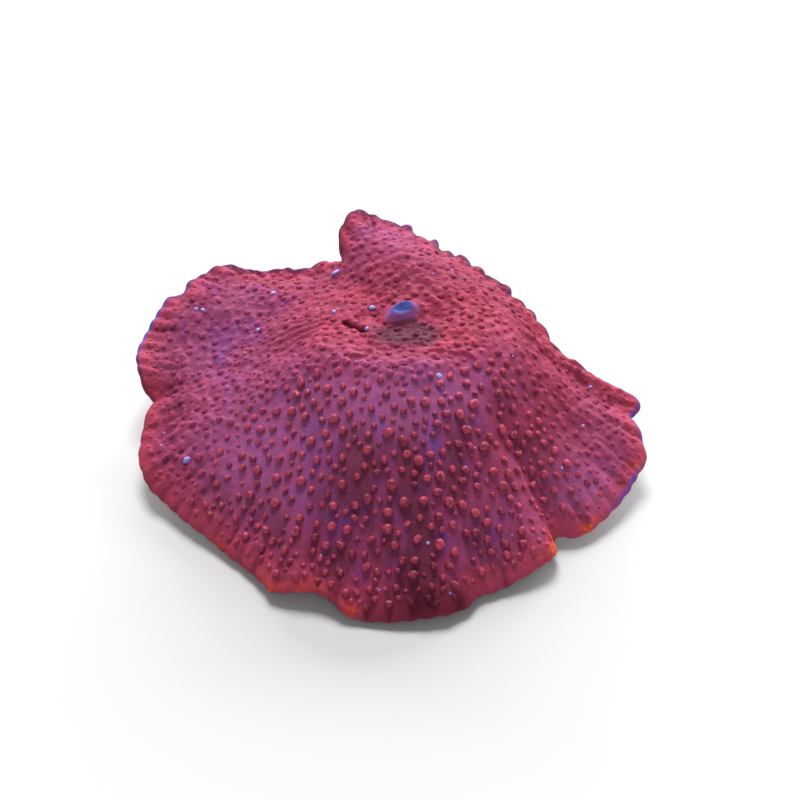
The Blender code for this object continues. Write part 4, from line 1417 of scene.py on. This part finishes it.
def srgb(red, green, blue):
    """A colour given from 0 to 255 as it looks on a screen, as Blender's linear light."""
    looks = np.array([red, green, blue]) / 255.0
    linear = np.where(looks <= 0.04045, looks / 12.92, ((looks + 0.055) / 1.055) ** 2.4)
    return tuple(float(channel) for channel in linear)


def length(name, description, default):
    return FloatProperty(
        name=name, description=description, default=default, min=0.0, unit="LENGTH", precision=5
    )


def slant(name, description, degrees):
    return FloatProperty(name=name, description=description, default=math.radians(degrees), subtype="ANGLE")


def power(name, description, default):
    return FloatProperty(name=name, description=description, default=default, unit="POWER")


def colour(name, description, default):
    return FloatVectorProperty(
        name=name, description=description, default=default, subtype="COLOR", size=3, min=0.0, max=1.0
    )


class CoralSizes(bpy.types.PropertyGroup):
    """Sizes of the polyp's knobs, margin and grit."""

    crown_knob: length("Crown Knob", "Radius of the knobs on the crown and at the sides", 0.00042)
    drape_knob: length("Drape Knob", "Radius of the knobs on the front of the drape", 0.00066)
    crown_spacing: length("Crown Spacing", "Distance between knobs on the crown and at the sides", 0.00135)
    drape_spacing: length("Drape Spacing", "Distance between knobs on the front of the drape", 0.0018)
    edge_thickness: length("Edge Thickness", "Thickness of the disc at its rolled edge", 0.0009)
    rim_scallop: length("Rim Scallop", "Width of a scallop along most of the margin", 0.0021)
    brim_scallop: length("Brim Scallop", "Width of a scallop along the raised brim", 0.0023)
    rim_depth: length("Rim Depth", "Depth of a scallop along most of the margin", 0.00013)
    brim_depth: length("Brim Depth", "Depth of a scallop along the raised brim", 0.0006)
    seed: IntProperty(name="Seed", description="Where the knobs grow", default=11, min=0)


class CoralColours(bpy.types.PropertyGroup):
    """Colours of the tissue and of the grit on it."""

    skin_red: colour("Red Skin", "Skin of the crown, the back and the flanks", srgb(154, 57, 86))
    skin_flush: colour("Flushed Skin", "Brighter patches of the crown", srgb(178, 60, 80))
    skin_violet: colour("Violet Skin", "Skin of the front crest and the lobes", srgb(138, 62, 110))
    skin_cool: colour("Cool Skin", "Bluer patches of the violet skin", srgb(106, 60, 134))
    haze_pink: colour("Hazy Skin", "Pale haze over the crest and the lobes", srgb(188, 102, 160))
    skin_maroon: colour("Maroon Skin", "Darker patches of the drape", srgb(112, 46, 71))
    # Painted shade for the pits between the pebbles.
    painted_pit_shade: colour("Pit Dark", "Pits between the pebbles", srgb(104, 20, 42))
    # Painted shade for the hollows of the streaks and pleats at the margin.
    painted_hollow_shade: colour("Streak Dark", "Hollows of the streaks and pleats at the margin", srgb(72, 18, 36))
    # Painted shade at the feet of the knobs on the drape.
    painted_knob_foot_shade: colour("Knob Base", "Foot of the knobs on the drape", srgb(70, 18, 34))
    knob_side: colour("Knob Side", "Darker knobs", srgb(120, 36, 60))
    knob_top: colour("Knob Top", "Lighter knobs", srgb(206, 76, 104))
    margin_red: colour("Margin Red", "Flesh near the margin", srgb(184, 68, 90))
    # Painted orange and amber glints along the margin.
    painted_orange_glint: colour("Margin Orange", "Glowing patches of the margin", srgb(214, 76, 58))
    painted_amber_glint: colour("Margin Amber", "Brightest spots of the margin", srgb(240, 138, 66))
    # A thin line along the rim; under the rolled edge it is painted shade.
    rim_line_and_under_shade: colour("Rim Violet", "Thin line along the rim", srgb(86, 40, 84))
    # Painted blue shine on the rim and its line.
    painted_blue_shine: colour("Rim Blue", "Where the rim shines blue", srgb(84, 78, 176))
    mouth_blue: colour("Mouth Blue", "Middle of the mouth", srgb(74, 78, 152))
    mouth_violet: colour("Mouth Violet", "Lip of the mouth", srgb(138, 82, 142))
    bruise_brown: colour("Bruise Brown", "Front of the mouth's cone", srgb(84, 33, 57))
    # Painted shade for the inside of the crease beside the mouth.
    painted_crease_shade: colour("Gash Dark", "Inside of the crease beside the mouth", srgb(56, 6, 16))
    underside: colour("Underside", "Underside of the disc and the stalk", srgb(118, 52, 76))
    underside_pale: colour("Pale Underside", "Raised columns of the stalk", srgb(146, 74, 100))
    grit_white: colour("Grit White", "Light side of the grit", srgb(180, 178, 236))
    grit_blue: colour("Grit Blue", "Blue side of the grit", srgb(112, 100, 208))


class StageSettings(bpy.types.PropertyGroup):
    """The floor, the light and the camera."""

    floor_size: length("Floor Size", "Side of the floor", 3.0)
    floor_colour: colour("Floor Colour", "Colour of the floor", (0.68, 0.68, 0.68))
    room_light: FloatProperty(
        name="Room Light", description="Strength of the light from all round", default=0.18
    )
    key_power: power("Key Power", "Power of the light above", 9.4)
    key_size: length("Key Size", "Width of the light above", 0.5)
    back_power: power("Back Power", "Power of the light behind", 21.0)
    back_size: length("Back Size", "Width of the light behind", 1.9)
    back_height: length("Back Height", "Height of the light behind", 0.5)
    fill_power: power("Fill Power", "Power of the light in front", 2.2)
    fill_size: length("Fill Size", "Width of the light in front", 1.0)
    light_distance: length("Light Distance", "Distance of the lights", 1.0)
    key_elevation: slant("Key Elevation", "Angle of the light above the horizon, from behind", 62.0)
    back_elevation: slant("Back Elevation", "Angle of the light behind above the horizon", 22.0)
    fill_elevation: slant("Fill Elevation", "Angle of the light in front above the horizon", 32.0)
    back_turn: slant("Back Turn", "Angle of the light behind from straight behind towards the left", -12.0)
    key_turn: slant("Key Turn", "Angle of the light above from straight behind towards the left", 5.0)
    camera_distance: length("Camera Distance", "Distance of the camera from the coral", 0.3)
    camera_elevation: slant("Camera Elevation", "Angle of the camera above the horizon", 42.0)
    camera_lens: FloatProperty(name="Camera Lens", description="Focal length in millimetres", default=114.75)


class CORAL_OT_polyp(bpy.types.Operator):
    """Grow the polyp's skin, with its knobs, mouth, margin and foot"""

    bl_idname = "coral.polyp"
    bl_label = "Grow Polyp"

    def execute(self, context):
        sizes = context.scene.coral_sizes
        skin = Skin(sizes)
        polyp = bpy.data.objects.new("polyp_tissue", skin_mesh(sizes, skin))
        context.scene.collection.objects.link(polyp)
        raise_knobs(polyp)
        mark_tissue(polyp, skin)
        polyp.data.attributes.remove(polyp.data.attributes["knob_class"])
        polyp.data.materials.append(tissue_material(context.scene.coral_colours))
        make_active(polyp)
        bpy.ops.object.shade_smooth()
        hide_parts("polyp")
        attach(polyp, "root")
        return {"FINISHED"}


class CORAL_OT_grit(bpy.types.Operator):
    """Set pale specks of grit on the skin where they show"""

    bl_idname = "coral.grit"
    bl_label = "Set Grit"

    def execute(self, context):
        stage = context.scene.coral_stage
        polyp = bpy.data.objects["polyp_tissue"]
        context.view_layer.update()
        eye, forward, up = camera_frame(stage)
        focal = stage.camera_lens / SENSOR_WIDTH * FRAME_PIXELS
        chance = np.random.RandomState(GRIT_SEED)
        grains = []
        for pixel_x, pixel_y, radius in SPECKS:
            right_share = (pixel_x - FRAME_PIXELS / 2) / focal
            up_share = (FRAME_PIXELS / 2 - pixel_y) / focal
            toward = forward + Vector((right_share, 0.0, 0.0)) + up * up_share
            found, place, normal, _ = polyp.ray_cast(eye, toward.normalized())
            if not found:
                raise RuntimeError(f"the speck at {pixel_x}, {pixel_y} isn't on the coral")
            deselect_all()
            bpy.ops.mesh.primitive_ico_sphere_add(
                subdivisions=2, radius=radius * MM, location=place + normal * radius * MM * GRIT_LIFT
            )
            grain = context.active_object
            grain.rotation_euler = normal.to_track_quat("Z", "Y").to_euler()
            grain.scale = chance.uniform(GRIT_LEAST_SCALE, GRIT_MOST_SCALE)
            bpy.ops.object.transform_apply(location=True, rotation=True, scale=True)
            grain.data.materials.clear()
            grains.append(grain)
        deselect_all()
        for grain in grains:
            grain.select_set(True)
        context.view_layer.objects.active = grains[0]
        bpy.ops.object.join()
        bpy.ops.object.transform_apply(location=True, rotation=True, scale=True)
        grit = context.active_object
        grit.name = "grit"
        grit.data.name = "grit"
        grit.data.materials.append(grain_material(context.scene.coral_colours))
        bpy.ops.object.shade_smooth()
        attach(grit, "root")
        return {"FINISHED"}


def camera_frame(stage):
    """Eye of the camera, the way it looks, and its upward direction."""
    slope = stage.camera_elevation
    forward = Vector((0.0, math.cos(slope), -math.sin(slope)))
    up = Vector((0.0, math.sin(slope), math.cos(slope)))
    return CAMERA_TARGET - forward * stage.camera_distance, forward, up


class CORAL_OT_stage(bpy.types.Operator):
    """Lay a pale floor and set soft light and the camera"""

    bl_idname = "coral.stage"
    bl_label = "Set Stage"

    def execute(self, context):
        stage = context.scene.coral_stage
        deselect_all()
        bpy.ops.mesh.primitive_plane_add(size=stage.floor_size, location=(0.0, 0.0, -FLOOR_DROP))
        floor = context.active_object
        floor.name = "floor"
        bpy.ops.object.transform_apply(location=True, rotation=True, scale=True)
        floor.data.materials.append(floor_material(stage))

        key_shape = (stage.key_size, stage.key_size)
        back_shape = (stage.back_size, stage.back_height)
        fill_shape = (stage.fill_size, stage.fill_size)
        for name, slope, turn, strength, (width, height) in (
            ("key_light", stage.key_elevation, stage.key_turn, stage.key_power, key_shape),
            ("back_light", stage.back_elevation, stage.back_turn, stage.back_power, back_shape),
            ("fill_light", stage.fill_elevation, math.pi, stage.fill_power, fill_shape),
        ):
            level = math.cos(slope)
            away = Vector((-math.sin(turn) * level, math.cos(turn) * level, math.sin(slope)))
            bpy.ops.object.light_add(
                type="AREA", location=away * stage.light_distance, rotation=(slope - math.pi / 2, 0.0, turn)
            )
            light = context.active_object
            light.name = name
            light.data.shape = "ELLIPSE"
            light.data.size = width
            light.data.size_y = height
            light.data.energy = strength

        world = context.scene.world or bpy.data.worlds.new("room")
        context.scene.world = world
        world.use_nodes = True
        background = world.node_tree.nodes["Background"]
        background.inputs["Color"].default_value = (1.0, 1.0, 1.0, 1.0)
        background.inputs["Strength"].default_value = stage.room_light
        context.scene.view_settings.view_transform = "Standard"

        eye, _, _ = camera_frame(stage)
        bpy.ops.object.camera_add(location=eye, rotation=(math.pi / 2 - stage.camera_elevation, 0.0, 0.0))
        camera = context.active_object
        camera.data.lens = stage.camera_lens
        camera.data.sensor_width = SENSOR_WIDTH
        camera.data.clip_start = 0.01
        camera.data.clip_end = 10.0
        context.scene.camera = camera
        return {"FINISHED"}


class CORAL_PT_panel(bpy.types.Panel):
    """The coral's sizes, colours and steps"""

    bl_label = "Mushroom Coral"
    bl_idname = "CORAL_PT_panel"
    bl_space_type = "VIEW_3D"
    bl_region_type = "UI"
    bl_category = "Coral"

    def draw(self, context):
        for step in (CORAL_OT_polyp, CORAL_OT_grit, CORAL_OT_stage):
            self.layout.operator(step.bl_idname)
        for group in (context.scene.coral_sizes, context.scene.coral_colours, context.scene.coral_stage):
            box = self.layout.box()
            for name in group.__annotations__:
                box.prop(group, name)


CLASSES = (
    CoralSizes,
    CoralColours,
    StageSettings,
    CORAL_OT_polyp,
    CORAL_OT_grit,
    CORAL_OT_stage,
    CORAL_PT_panel,
)


def register():
    for cls in CLASSES:
        bpy.utils.register_class(cls)
    bpy.types.Scene.coral_sizes = PointerProperty(type=CoralSizes)
    bpy.types.Scene.coral_colours = PointerProperty(type=CoralColours)
    bpy.types.Scene.coral_stage = PointerProperty(type=StageSettings)


def unregister():
    del bpy.types.Scene.coral_stage
    del bpy.types.Scene.coral_colours
    del bpy.types.Scene.coral_sizes
    for cls in reversed(CLASSES):
        bpy.utils.unregister_class(cls)


def main():
    register()
    bpy.ops.coral.polyp()
    bpy.ops.coral.grit()
    bpy.ops.coral.stage()


if __name__ == "__main__":
    main()
